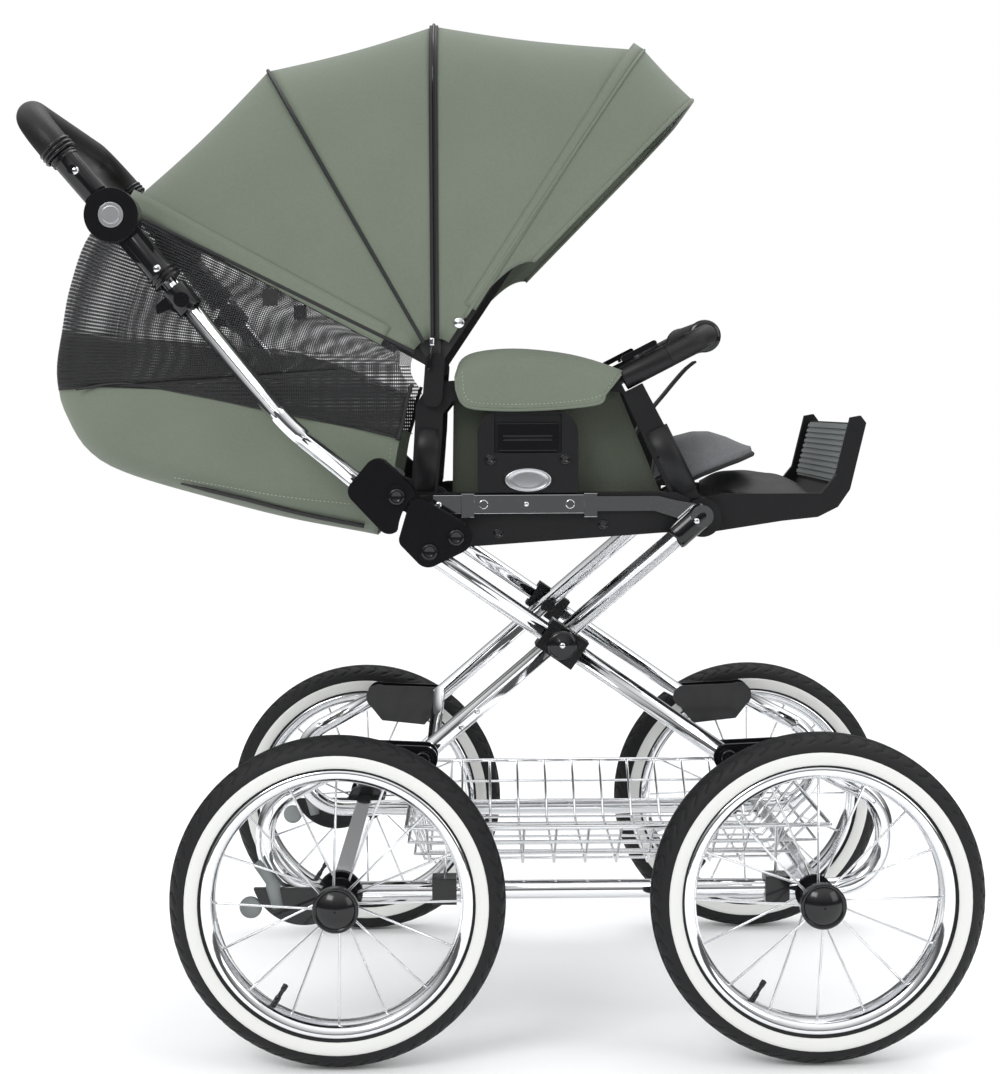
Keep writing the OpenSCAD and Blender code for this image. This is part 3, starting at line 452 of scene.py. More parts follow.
def whiteWall(centre):
    # on both side walls a low ring that follows the tyre's round wall
    r = tyre["halfWidth"]
    middle = tyre["radius"] - r
    radius = np.linspace(tyre["wallFrom"], tyre["wallTo"], 9)
    wall = np.sqrt(r**2 - (radius - middle) ** 2)
    lift = 0.5 * np.sin(np.linspace(0, math.pi, 9)) ** 0.4
    front = np.stack([radius, wall + lift], 1)
    profile = np.concatenate([front, np.stack([radius[::-1], wall[::-1] - 1.2], 1)])
    parts = []
    for s in (1, -1):
        p, q = turned(profile, centre, (0, s, 0), 96)
        n = len(profile)
        close = np.stack([np.arange(96) * n + n - 1, (np.arange(96) + 1) % 96 * n + n - 1,
                          (np.arange(96) + 1) % 96 * n, np.arange(96) * n], 1)
        parts.append((p, np.concatenate([q, close])))
    return joined(parts)


for wheel in ("front_left", "front_right", "rear_left", "rear_right"):
    low, high = nodeBox(wheel + "_tyre")
    centre = (low + high) / 2
    side = 1 if "left" in wheel else -1
    piece = newPiece(wheel + "_tread_tyre", *tyreSurface(centre), look["tyre"], wheel + "_wheel", "tyre")
    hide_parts(wheel + "_tyre")
    newPiece(wheel + "_white_wall", *whiteWall(centre), look["white_wall"], wheel + "_wheel", "tyre")
    stem = np.array([[0, 0], [3.2, 0], [3.2, 12], [2.4, 13], [2.4, 20], [3, 21], [3, 27], [0, 28]])
    at = math.radians(238)
    inward = -np.array([math.cos(at), 0, math.sin(at)])
    newPiece(wheel + "_valve_stem", *turned(stem, centre - inward * 131, inward, 16), look["gloss_black"],
             wheel + "_wheel", "hub_plastic")
    ringAt = centre + np.array([0, side * 35.5, 0])
    ringShape = np.array([[16.0, -1], [23.4, -1], [23.8, 0.6], [22.6, 1.6], [20.6, 1.2], [19.8, 0.2], [16.0, 0.2]])
    newPiece(wheel + "_cap_ring", *turned(ringShape, ringAt, (0, side, 0), 64), look["hub_plastic"],
             wheel + "_wheel", "hub_plastic")
print("wheels dressed")


# Hood

hood = {"halfWidth": 167.0, "corner": 80.0, "middle": 368.5, "front": 412.5, "visor": 404.5, "edge": 382.5,
        "start": 26.0, "thick": 2.0}
hoodAngle = {"visor": 45.4, "front": 56.0, "middle": 90.0, "rear": 119.6, "edge": 153.2}


def archHalf(w, r, c, start, camber, counts=(10, 9, 16)):
    # for each row: (y, radius) from the crown's middle over the round corner and down the leg
    w, r, c, start = (np.asarray(v, float)[:, None] for v in np.broadcast_arrays(w, r, c, start))
    nCrown, nCorner, nLeg = counts
    t = np.linspace(0, 1, nCrown, endpoint=False)[None]
    y1, p1 = t * (w - c), r - camber * (t * (w - c) / w) ** 2
    beta = np.linspace(math.pi / 2, 0, nCorner, endpoint=False)[None]
    drop = camber * ((w - c) / w) ** 2 * np.sin(beta)
    y2, p2 = w - c + c * np.cos(beta), r - c + c * np.sin(beta) - drop
    t = np.linspace(0, 1, nLeg)[None]
    y3, p3 = w + 0 * t, (r - c) * (1 - t) + start * t
    return np.concatenate([y1, y2, y3], 1), np.concatenate([p1, p2, p3], 1)


def archFull(*args, **more):
    # from the left leg's foot over the crown to the right leg's foot
    y, p = archHalf(*args, **more)
    return np.concatenate([y[:, ::-1], -y[:, 1:]], 1), np.concatenate([p[:, ::-1], p[:, 1:]], 1)


def fanPoints(angles, y, radius):
    # (radius, angle) about the hood pivot, in the planes of constant y
    a = np.radians(angles)[:, None]
    return np.stack([hoodPivot[0] + radius * np.cos(a), y, hoodPivot[1] + radius * np.sin(a)], -1)


def fanUv(angles, points, radius):
    # length along the arch from its middle, and length round the pivot
    step = np.linalg.norm(np.diff(points, axis=1), axis=2)
    u = np.concatenate([np.zeros((len(points), 1)), np.cumsum(step, 1)], 1)
    u -= u[:, -1:] / 2
    v = np.broadcast_to((np.radians(angles) * radius)[:, None], u.shape)
    return np.stack([u, v], -1).reshape(-1, 2)


def thicken(piece, thick, offset=-1.0):
    solid = piece.modifiers.new("cloth_wall", "SOLIDIFY")
    solid.thickness = thick * mm
    solid.offset = offset
    return piece


def chordRadius(a, a0, r0, a1, r1):
    # radius of the straight line between two crowns, seen from the pivot
    a, a0, a1 = np.radians(a), math.radians(a0), math.radians(a1)
    return r0 * r1 * math.sin(a1 - a0) / (r0 * np.sin(a - a0) + r1 * np.sin(a1 - a))


def hoodPanel(name, a0, r0, a1, r1, sag, start, lift=0.0, rows=18):
    # straight cloth between two bows that dips a little between them, with soft folds to the pivot
    a = np.linspace(a0, a1, rows)
    t = (a - a0) / (a1 - a0)
    dip = np.sin(math.pi * t)
    r = chordRadius(a, a0, r0, a1, r1) - sag * dip + lift
    y, p = archFull(hood["halfWidth"] + lift, r, hood["corner"] + lift, start, 3.0)
    reach = p / r[:, None]
    fold = 0.9 * np.sin(t * math.pi)[:, None] * np.sin(9 * t[:, None] + 3 * reach)
    y = y * (1 - 0.010 * dip[:, None] * np.clip(1.3 - reach, 0, 1)) + np.sign(y) * fold * np.clip(0.9 - reach, 0, 1)
    points = fanPoints(a, y, p)
    cols = points.shape[1]
    return newPiece(name, points.reshape(-1, 3), gridFaces(rows, cols), look["sage_fabric"], None, "sage_fabric",
                    uv=fanUv(a, points, (r0 + r1) / 2))


def hoodSheet(piece, bodies):
    thicken(piece, hood["thick"])
    if len(bodies) == 2:
        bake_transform(piece)
    else:
        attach(piece, bodies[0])


rear = hoodPanel("hood_rear_cloth", hoodAngle["rear"], hood["middle"], hoodAngle["edge"], hood["edge"], 3.5, hood["start"])
mid = hoodPanel("hood_mid_cloth", hoodAngle["middle"], hood["middle"], hoodAngle["rear"], hood["middle"], 3.0, hood["start"])
front = hoodPanel("hood_front_cloth", hoodAngle["front"], hood["front"], hoodAngle["middle"], hood["middle"], 3.5, hood["start"])
visor = hoodPanel("hood_visor_cloth", hoodAngle["visor"], hood["visor"], hoodAngle["front"], hood["front"], 1.0,
                  np.linspace(150, 60, 18) + 70 * np.sin(np.linspace(0, math.pi, 18)) * 0.3)
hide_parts("hood_rear_panel")
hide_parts("hood_mid_panel")
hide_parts("hood_front_panel")
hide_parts("hood_visor")


def archPath(angle, radius, lift, start, end=None):
    # the line of the cloth over one bow
    y, p = archFull([hood["halfWidth"] + lift], [radius + lift], [hood["corner"] + lift], [start], 3.0,
                    counts=(14, 14, 40))
    return fanPoints(np.array([angle]), y, p)[0]


def ribbon(path, across, width, lift, rows=2):
    # flat tape whose middle follows the path; across is its width's direction
    across = np.asarray(across, float) / np.linalg.norm(across)
    out = np.cross(tangents(path), across)
    offsets = np.linspace(-0.5, 0.5, rows) * width
    points = path[:, None] + offsets[None, :, None] * across + lift * out[:, None]
    return points.reshape(-1, 3), gridFaces(len(path), rows)


def arcAcross(angle):
    a = math.radians(angle)
    return np.array([-math.sin(a), 0, math.cos(a)])


def stitchRow(path, out, pitch=4.2, long=2.8, thick=0.42):
    # short pointed stitches along a path, each with six corners
    path = np.asarray(path, float)
    count = max(2, int(np.linalg.norm(np.diff(path, axis=0), axis=1).sum() / pitch))
    line = smoothLine(path, count)
    along = tangents(line)
    out = np.broadcast_to(np.asarray(out, float), line.shape)
    side = np.cross(along, out)
    corners = np.stack([line + along * long / 2, line + side * thick, line + out * thick,
                        line - side * thick, line - out * thick, line - along * long / 2], 1)
    one = np.array([[0, 1, 2], [0, 2, 3], [0, 3, 4], [0, 4, 1], [5, 2, 1], [5, 3, 2], [5, 4, 3], [5, 1, 4]])
    faces = (np.arange(count)[:, None, None] * 6 + one[None]).reshape(-1, 3)
    return corners.reshape(-1, 3), faces


def stitches(name, rows, material, body, slotName):
    points, faces = joined(rows)
    return newPiece(name, points, np.zeros((0, 4), int), material, body, slotName, triangles=faces, smooth=False)


# black piping over the rear bow and under the rear hem, sage seams over the other bows
newPiece("rear_bow_piping", *tube(archPath(hoodAngle["rear"], hood["middle"], 0.9, 24), 2.0, arcAcross(hoodAngle["rear"])),
         look["piping"], "rear_hood", "black_fabric")
newPiece("rear_hem_piping", *tube(archPath(hoodAngle["edge"] + 0.35, hood["edge"], 0.2, 24), 2.1, arcAcross(hoodAngle["edge"])),
         look["piping"], "seat", "black_fabric")
newPiece("front_seam_roll", *tube(archPath(hoodAngle["front"], hood["front"], 0.2, 58), 1.6, arcAcross(hoodAngle["front"])),
         look["sage_fabric"], "front_hood", "sage_fabric")
newPiece("visor_binding", *tube(archPath(hoodAngle["visor"], hood["visor"], -0.6, 150), 2.4, arcAcross(hoodAngle["visor"])),
         look["sage_fabric"], "front_hood", "sage_fabric")
hem = newPiece("rear_hem_band", *ribbon(archPath(hoodAngle["edge"] - 1.7, hood["edge"], 0.7, 60), arcAcross(152), 22, 0.2, 4),
               look["sage_fabric"], None, "sage_fabric")
thicken(hem, 0.8, 0)
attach(hem, "seat")
frontHem = newPiece("front_seam_band", *ribbon(archPath(hoodAngle["front"] + 1.0, hood["front"], 0.5, 70), arcAcross(57), 13, 0.2, 3),
                    look["sage_fabric"], None, "sage_fabric")
thicken(frontHem, 0.7, 0)
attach(frontHem, "front_hood")

# zip over the middle bow: tape, coil and puller
zipPath = archPath(hoodAngle["middle"], hood["middle"], 0.6, 24)
tape = newPiece("zip_tape", *ribbon(zipPath, (1, 0, 0), 9, 0.3, 3), look["piping"], None, "black_fabric")
thicken(tape, 0.8, 0)
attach(tape, "middle_hood")
coil = smoothLine(zipPath, 620)
coil = coil + 1.1 * np.cross(tangents(coil), [1.0, 0, 0])
coilSize = 1.35 + 0.45 * np.cos(np.arange(620) * math.pi)
newPiece("zip_coil", *tube(coil, coilSize, (1, 0, 0), 8), look["gloss_black"], "middle_hood", "gloss_black")
for side, word in ((-1, "right"), (1, "left")):
    x, z = hoodPivot[0] - 3, hoodPivot[1] + 18
    y = side * (hood["halfWidth"] + 3)
    slider = smoothLine([[x, y, z + 8], [x, y, z]], 6)
    newPiece("zip_slider_" + word, *tube(slider, 3.4, (1, 0, 0), 8), look["bright"], "middle_hood", "silver_button")
    pull = smoothLine([[x, y + side * 2, z], [x - 2, y + side * 4, z - 12], [x - 4, y + side * 3.6, z - 26]], 14)
    newPiece("zip_puller_" + word, *tube(pull, np.interp(np.arange(14), [0, 3, 13], [1.0, 1.6, 2.2]), (1, 0, 0), 8),
             look["gloss_black"], "middle_hood", "gloss_black")
    snap = np.array([[0, 2.4], [2.2, 2.3], [3.2, 1.5], [5.0, 1.6], [5.8, 0.8], [5.8, -0.6], [0, -0.6]])
    newPiece("hood_snap_" + word, *turned(snap[::-1], (hoodPivot[0] + 26, side * hood["halfWidth"], hoodPivot[1] + 42),
                                          (0, side, 0), 32), look["bright"], "front_hood", "silver_button")
print("hood dressed")


# Back shell: net window, net band and green lower part on one surface round the hood pivot

shell = {"halfWidth": 167.2, "cornerMost": 60.0, "cornerShare": 0.22, "camber": 12.0}
# the shell's back and bottom on the middle plane, and its lines on the side wall
shellCrown = [(-493, 911), (-530, 876), (-551, 820), (-560, 776), (-567, 736), (-566, 708), (-560, 684),
              (-537, 643), (-496, 616), (-401, 586), (-308, 561), (-215, 542), (-180, 532)]
bandTop = [(-560, 768), (-523, 770), (-479, 779), (-409, 771), (-348, 758), (-290, 745), (-233, 724), (-190, 702),
           (-178, 693), (-181, 672), (-186, 655), (-190, 640)]
bandFoot = [(-566, 708), (-531, 708), (-480, 714), (-405, 702), (-325, 685), (-233, 666), (-186, 655),
            (-189, 640), (-192, 618), (-200, 585), (-212, 545), (-216, 538)]


def radiusOf(line, smooth=True):
    # a line in the side view as radius against angle about the hood pivot
    dense = smoothLine(line, 200) if smooth else np.asarray(line, float)
    d = dense - hoodPivot
    angle = np.degrees(np.arctan2(d[:, 1], d[:, 0])) % 360
    radius = np.linalg.norm(d, axis=1)
    order = np.argsort(angle)
    return lambda a: np.interp(a, angle[order], radius[order])


crownAt, bandTopAt, bandFootAt = radiusOf(shellCrown), radiusOf(bandTop), radiusOf(bandFoot)


def shellCorner(r):
    return np.minimum(shell["cornerMost"], shell["cornerShare"] * r)


def shellSag(points, amount):
    # soft hollows and swells of unpadded cloth, square to the surface's main direction
    x, y, z = points[..., 0], points[..., 1], points[..., 2]
    wave = np.sin(x * 0.021 + 1.3) * np.cos(z * 0.035 + x * 0.012) + 0.5 * np.sin(x * 0.05 - z * 0.04)
    moved = points.copy()
    inner = np.clip((np.abs(y) - 90) / 60, 0, 1)
    moved[..., 1] -= np.sign(y) * inner * amount * (1 + wave)
    return moved


def shellBack(angles, foot, sag, pleat=0.0):
    # rows round the tub from one wall over the back to the other wall
    r = crownAt(angles)
    c = shellCorner(r)
    y, p = archFull(shell["halfWidth"], r, c, np.minimum(foot(angles), r - c - 2), shell["camber"], counts=(12, 12, 30))
    points = fanPoints(angles, y, p)
    if pleat:
        edge = np.exp(-((p / r[:, None] - 0.93) / 0.05) ** 2)
        points[..., 0] += pleat * edge * np.sin(y * 0.35 + p * 0.10)
    points = shellSag(points, sag)
    return points, fanUv(angles, points, r.mean())


def shellSide(angles, outer, inner, sag, cols=26):
    # the left wall between two lines
    t = np.linspace(0, 1, cols)[None]
    p = outer(angles)[:, None] * (1 - t) + inner(angles)[:, None] * t
    r = crownAt(angles)
    p = np.minimum(p, (r - shellCorner(r))[:, None])
    points = fanPoints(angles, shell["halfWidth"] + 0 * p, p)
    points = shellSag(points, sag)
    uv = np.stack([-points[..., 0], points[..., 2]], -1)
    return points, uv


def shellPiece(name, back, side, material, thick, slotName):
    points, uv = back
    rows, cols = points.shape[:2]
    parts, maps = [(points.reshape(-1, 3), gridFaces(rows, cols))], [uv.reshape(-1, 2)]
    if side is not None:
        q, w = side
        rows, cols = q.shape[:2]
        left = (q.reshape(-1, 3), gridFaces(rows, cols))
        parts += [left, mirrored(*left)]
        maps += [w.reshape(-1, 2), w.reshape(-1, 2)]
    piece = newPiece(name, *joined(parts), material, None, slotName, uv=np.concatenate(maps))
    thicken(piece, thick)
    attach(piece, "seat")
    return piece


innerEdge = radiusOf([(-147 - 38, 732), (-176, 714), (-171, 704), (-178, 693), (-182, 672), (-188, 652), (-193, 618),
                      (-203, 585), (-214, 548)], False)
topBack = np.linspace(hoodAngle["edge"] + 0.4, 175.0, 16)
bandBack = np.linspace(175.0, 183.8, 8)
window = shellPiece("shell_window_net", shellBack(topBack, lambda a: 38 + 0 * a, 1.0, 1.6),
                    shellSide(np.linspace(175.0, 234, 34), bandTopAt, lambda a: np.minimum(innerEdge(a), bandTopAt(a) - 1), 1.0),
                    look["window_net"], 0.7, "black_fabric")
band = shellPiece("shell_band_net", shellBack(bandBack, bandTopAt, 0.6, 0.8),
                  shellSide(np.linspace(183.8, 246, 36), bandFootAt, lambda a: np.minimum(bandTopAt(a), bandFootAt(a) - 1), 0.6),
                  look["band_net"], 1.0, "black_fabric")
green = shellPiece("shell_green_cloth", shellBack(np.linspace(183.8, 250.5, 46), bandFootAt, 1.6), None,
                   look["sage_fabric"], 2.0, "sage_fabric")
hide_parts("back_shell")


def sidePath(line, count, lift=0.5):
    return inPlane(smoothLine(line, count), shell["halfWidth"] + lift)


def bothTubes(name, path, radius, material, body, slotName, sides=8):
    return newPiece(name, *bothSides(*tube(path, radius, (0, 1, 0), sides)), material, body, slotName)


def bothStitches(name, path, material, body, slotName):
    points, faces = stitchRow(path, (0, 1, 0))
    flip = points * np.array([1, -1, 1]), faces[:, ::-1]
    return stitches(name, [(points, faces), flip], material, body, slotName)


bothTubes("shell_front_binding", sidePath([(-172, 712), (-178, 693), (-182, 672), (-188, 652)], 24), 2.2,
          look["piping"], "seat", "black_fabric")
bothTubes("band_foot_binding", sidePath([(-531, 708), (-480, 714), (-405, 702), (-325, 685), (-233, 666), (-186, 655)], 60, -0.6),
          1.3, look["piping"], "seat", "black_fabric")
# zip on the rounded lower corner: y = w - c (1 - cos 40), radius = r - c (1 - sin 40)
zipAngles = np.linspace(205, 246, 80)
zipRadius = crownAt(zipAngles)
zipCorner = shellCorner(zipRadius)
zipReach = zipRadius - zipCorner * (1 - math.sin(math.radians(40))) + 1.0
zipTube = np.stack([hoodPivot[0] + zipReach * np.cos(np.radians(zipAngles)),
                    shell["halfWidth"] - zipCorner * (1 - math.cos(math.radians(40))),
                    hoodPivot[1] + zipReach * np.sin(np.radians(zipAngles))], 1)
bothTubes("shell_foot_zip", zipTube, np.interp(np.arange(80), [0, 8, 79], [1.0, 2.4, 2.6]), look["piping"], "seat", "black_fabric")
bothStitches("shell_side_stitches", sidePath([(-194, 648), (-199, 622), (-206, 596)], 20, -1.2), look["stitch"], "seat", "sage_fabric")
bothStitches("shell_foot_stitches", sidePath([(-427, 613), (-372, 603), (-310, 592), (-241, 584)], 40, -2.4), look["stitch"], "seat", "sage_fabric")
tab = np.array([[-8, 0, -9], [8, 0, -9], [8, 0, 9], [-8, 0, 9]]) + np.array([-322, shell["halfWidth"] + 1.4, 805])
label = newPiece("window_tab", *bothSides(tab, np.array([[0, 1, 2, 3]])), look["piping"], None, "black_fabric", smooth=False)
thicken(label, 1.2, 0)
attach(label, "seat")
print("back shell dressed")


# Seat: cushion, back cushion, side panels, armrest sleeves, leg flap and crotch strap

cushion = {"edge": 13.0, "channel": 2.4}


def cushionSurface(halfX, halfY, edge, crown, channels, rows=64, cols=72):
    # a rounded rectangle seen from above; height is edge + crown * (1 - x^4)(1 - y^4), less the sewn channels;
    # the wall draws in below the piping and the underside is flat
    ring = np.linspace(0, 1, rows // 2)
    a = np.linspace(0, 2 * math.pi, cols * 2, endpoint=False)
    k = 1 / (np.abs(np.cos(a)) ** 6 + np.abs(np.sin(a)) ** 6) ** (1 / 6)
    s = np.sin(ring * math.pi / 2)[:, None]
    x, y = s * k * np.cos(a), s * k * np.sin(a)
    swell = np.clip((1 - x**4) * (1 - y**4), 0, 1)
    z = edge + crown * swell
    if channels:
        z -= cushion["channel"] * np.abs(np.cos(math.pi * channels * (x + 1) / 2)) ** 16 * swell ** 0.3
    z += 0.8 * np.sin(7 * x + 2) * np.sin(6 * y) * swell
    top = np.stack([x * halfX, y * halfY, z], -1)
    low = []
    for inset, height in ((1.005, 0.86), (0.99, 0.6), (0.982, 0.35), (0.985, 0.12), (0.97, 0.0)):
        low.append(np.stack([k * np.cos(a) * halfX * inset, k * np.sin(a) * halfY * inset, np.full(len(a), edge * height)], -1))
    for inner in (0.6, 0.02):
        low.append(np.stack([k * np.cos(a) * halfX * inner, k * np.sin(a) * halfY * inner, np.zeros(len(a))], -1))
    points = np.concatenate([top, np.array(low)])
    n, m = points.shape[:2]
    uv = points[..., :2].reshape(-1, 2)
    quads = gridFaces(n, m, wrapCols=True)[:, ::-1]
    return points.reshape(-1, 3), quads[:, ::-1], uv


def closePoles(piece):
    # the tiny rings in the middle are merged to a point, then the faces turned outwards
    bm = bmesh.new()
    bm.from_mesh(piece.data)
    bmesh.ops.remove_doubles(bm, verts=bm.verts, dist=0.00005)
    holes = [e for e in bm.edges if e.is_boundary]
    bmesh.ops.holes_fill(bm, edges=holes, sides=400)
    bmesh.ops.recalc_face_normals(bm, faces=bm.faces)
    bm.to_mesh(piece.data)
    bm.free()


def laidCushion(name, halfX, halfY, edge, crown, channels, origin, slope, material, body, slotName):
    # the cushion turned by slope degrees about Y, its underside's middle at origin
    points, quads, uv = cushionSurface(halfX, halfY, edge, crown, channels)
    turn = np.array(Matrix.Rotation(math.radians(slope), 3, "Y"))
    piece = newPiece(name, points @ turn.T + np.asarray(origin, float), quads, material, body, slotName, uv=uv)
    closePoles(piece)
    return piece


low, high = nodeBox("seat_pad")
seatPad = laidCushion("seat_cushion", (high[0] - low[0]) / 2 - 1, (high[1] - low[1]) / 2 - 1, cushion["edge"],
                      high[2] - low[2] - cushion["edge"], 3, ((low[0] + high[0]) / 2, 0, low[2]), 0,
                      look["melange_fabric"], "seat", "melange_fabric")
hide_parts("seat_pad")
backHinge = jointAt["backrest_turn"]
backAngle = 20.0
along = np.array([-math.cos(math.radians(backAngle)), 0, math.sin(math.radians(backAngle))])
up = np.array([math.sin(math.radians(backAngle)), 0, math.cos(math.radians(backAngle))])
backPad = laidCushion("back_cushion", 165, 118, 12, 14, 4, backHinge + along * 212 + up * 3.6, backAngle,
                      look["melange_fabric"], "backrest", "melange_fabric")
low, high = nodeBox("calf_pad")
calf = laidCushion("calf_cushion", 51, (high[1] - low[1]) / 2 - 1, 16, 19, 0, ((low[0] + high[0]) / 2 - 1, 0, low[2] + 2.5), 3,
                   look["black_leather"], "footrest", "black_leather")
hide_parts("calf_pad")


def sideSheet(name, outline, y, thick, material, body, slotName, rows=14, cols=26, swell=0.0):
    # left wall between a lower and an upper line, both given front to back; swells outwards in its middle
    lower, upper = smoothLine(outline[0], cols), smoothLine(outline[1], cols)
    t = np.linspace(0, 1, rows)[:, None, None]
    grid = lower[None] * (1 - t) + upper[None] * t
    u = np.linspace(0, 1, cols)[None]
    out = y + swell * np.sin(math.pi * t[..., 0]) * np.sin(math.pi * u) ** 0.7
    points = np.stack([grid[..., 0], out, grid[..., 1]], -1).reshape(-1, 3)
    uv = np.stack([-points[:, 0], points[:, 2]], -1)
    parts = joined([(points, gridFaces(rows, cols)[:, ::-1]), mirrored(points, gridFaces(rows, cols)[:, ::-1])])
    piece = newPiece(name, *parts, material, None, slotName, uv=np.concatenate([uv, uv]))
    thicken(piece, thick, 0)
    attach(piece, body)
    return piece


# the side cloth takes the darkened sage colour, painted shade of the recess under the armrests
panels = sideSheet("seat_side_cloth", ([(106, 573), (-20, 572), (-130, 573)], [(52, 704), (-30, 700), (-128, 694)]),
                   132, 3.0, look["shade_darkened_sage"], "seat", "black_fabric", swell=-1.0)
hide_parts("seat_side_panels")


def armrestSleeve():
    # an oval carried along the armrest's arched top, drawn in at both ends; its outside hangs lower
    line = smoothLine([(-122, 716), (-100, 727), (-60, 733), (-10, 731), (25, 722), (40, 716)], 48)
    t = np.linspace(0, 1, 48)
    half = 16.5 * np.clip(np.sin(math.pi * (0.04 + 0.92 * t)), 0, 1) ** 0.35
    rise = 15.0 * np.clip(np.sin(math.pi * (0.04 + 0.92 * t)), 0, 1) ** 0.35
    turn = np.linspace(0, 2 * math.pi, 40, endpoint=False)
    cosT, sinT = np.cos(turn)[None], np.sin(turn)[None]
    y = 156.5 + half[:, None] * np.sign(cosT) * np.abs(cosT) ** 0.8
    z = line[:, 1:] + rise[:, None] * np.where(sinT > 0, np.abs(sinT) ** 0.9 * 0.85, -np.abs(sinT) ** 0.7)
    z = z - (7 + 4 * np.sin(9 * t)[:, None]) * np.clip(cosT, 0, 1) * np.clip(-sinT, 0, 1)
    x = line[:, :1] + 0 * z
    points = np.stack([x, y, z], -1)
    ends = [np.broadcast_to(points[k].mean(0), points[k].shape) * 0.98 + points[k] * 0.02 for k in (0, -1)]
    points = np.concatenate([ends[0][None], points, ends[1][None]])
    uv = np.stack([points[..., 0], np.broadcast_to(turn * 16, points.shape[:2])], -1).reshape(-1, 2)
    return points.reshape(-1, 3), gridFaces(50, 40, wrapCols=True), uv


points, quads, uv = armrestSleeve()
sleeves = newPiece("armrest_sleeves", *bothSides(points, quads), look["sage_fabric"], "seat", "sage_fabric",
                   uv=np.concatenate([uv, uv]))
closePoles(sleeves)
def armrestFlap(rows=22, cols=44):
    # outside of the armrest cover: upright side face that bends in over the crown
    lower = smoothLine([(34, 700), (28, 691), (-10, 686), (-60, 684), (-104, 686), (-118, 692), (-124, 706)], cols)
    upper = smoothLine([(54, 725), (20, 737), (-16, 745), (-62, 749), (-100, 746), (-118, 738), (-125, 722)], cols)
    t = np.linspace(0, 1, rows)[:, None]
    x = lower[None, :, 0] * (1 - t) + upper[None, :, 0] * t
    z = lower[None, :, 1] * (1 - t) + upper[None, :, 1] * t
    y = 174.5 - 15 * np.clip((t - 0.60) / 0.40, 0, 1) ** 2.4 + 0.6 * np.sin(x * 0.09) * (1 - t)
    return np.stack([x, y, z], -1)


flapGrid = armrestFlap()
quads = gridFaces(22, 44)[:, ::-1]
uv = np.stack([-flapGrid[..., 0], flapGrid[..., 2]], -1).reshape(-1, 2)
flapSide = newPiece("armrest_flaps", *bothSides(flapGrid.reshape(-1, 3), quads), look["sage_fabric"], None, "sage_fabric",
                    uv=np.concatenate([uv, uv]))
thicken(flapSide, 2.0, 0)
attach(flapSide, "seat")
flapRim = np.concatenate([flapGrid[::-1, 0], flapGrid[0, 1:-1], flapGrid[:, -1]])[3:-3] + np.array([0, 0.4, 0])
bothTubes("armrest_piping", smoothLine(flapRim, 100), 1.7, look["sage_fabric"], "seat", "sage_fabric")
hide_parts("armrest_covers")
bothStitches("armrest_stitches", inPlane(smoothLine([(42, 715), (30, 699), (-10, 692), (-60, 690), (-102, 692), (-115, 700), (-118, 724)], 60), 175.9),
             look["stitch"], "seat", "sage_fabric")


def legFlap():
    # crowned across the seat: high line in the middle, low line at the side edges, both meet at the tip
    x = np.linspace(112, 204, 36)[:, None]
    middle = np.interp(x, [112, 130, 150, 167, 186, 204], [634, 645, 650, 650, 644, 635])
    side = np.interp(x, [112, 146, 175, 204], [596, 612, 623, 633])
    width = np.interp(x, [112, 150, 188, 204], [112, 112, 108, 96])
    t = np.linspace(-1, 1, 40)[None]
    y = width * t
    z = side + (middle - side) * (1 - np.abs(t) ** 2.6) + 0.8 * np.sin(y * 0.06)
    points = np.stack([x + 0 * y, y, z], -1)
    return points, np.stack([y, x + 0 * y], -1)


points, uv = legFlap()
edgePath = np.concatenate([points[:, 0], points[-1, 1:-1], points[::-1, -1]])
flap = newPiece("leg_flap", points.reshape(-1, 3), gridFaces(36, 40)[:, ::-1], look["melange_fabric"], None, "melange_fabric",
                uv=uv.reshape(-1, 2))
thicken(flap, 7.0, -1)
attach(flap, "seat")
flapEdge = newPiece("leg_flap_piping", *tube(smoothLine(edgePath, 110), 2.6, (0, 0.05, 1), 8), look["dark_flap"], "seat", "black_fabric")
strapLine = smoothLine([(150, 738), (140, 730), (129, 718), (114, 700), (99, 682), (86, 664), (76, 642), (66, 612)], 40)
points = np.stack([strapLine[:, :1] + 0 * np.ones((1, 5)), np.ones((40, 1)) * np.linspace(-19, 19, 5)[None],
                   strapLine[:, 1:] + 0 * np.ones((1, 5))], -1)
uv = np.stack([points[..., 1], np.broadcast_to(np.linspace(0, 160, 40)[:, None], (40, 5))], -1).reshape(-1, 2)
strap = newPiece("crotch_strap", points.reshape(-1, 3), gridFaces(40, 5), look["black_fabric"], None, "black_fabric", uv=uv)
thicken(strap, 2.4, 0)
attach(strap, "seat")
print("seat dressed")


# Small hard trim

def disc(name, profile, places, material, slotName, body, steps=32):
    # one turned shape at several places: (x, z, y of the face), on both sides
    shape = np.asarray(profile, float)
    parts = []
    for x, z, y in places:
        for s in (1, -1):
            parts.append(turned(shape[::-1], (x, s * y, z), (0, s, 0), steps))
    return newPiece(name, *joined(parts), material, body, slotName)


rivet = [[0, 2.2], [2.0, 2.1], [3.6, 1.4], [4.3, 0.3], [4.3, -0.5], [0, -0.5]]
smallRivet = [[0, 1.6], [1.6, 1.5], [2.8, 0.9], [3.2, 0.1], [3.2, -0.5], [0, -0.5]]
boltHead = [[0, 1.0], [4.2, 1.0], [5.0, 1.7], [7.4, 1.6], [8.4, 0.8], [8.6, -0.4], [0, -0.4]]
screw = [[0, 0.4], [2.2, 0.4], [2.4, 1.1], [4.9, 1.0], [5.6, 0.4], [5.8, -0.4], [0, -0.4]]


def faceOf(node):  # distance of a node's outer face from the middle plane
    low, high = nodeBox(node)
    return high[1]


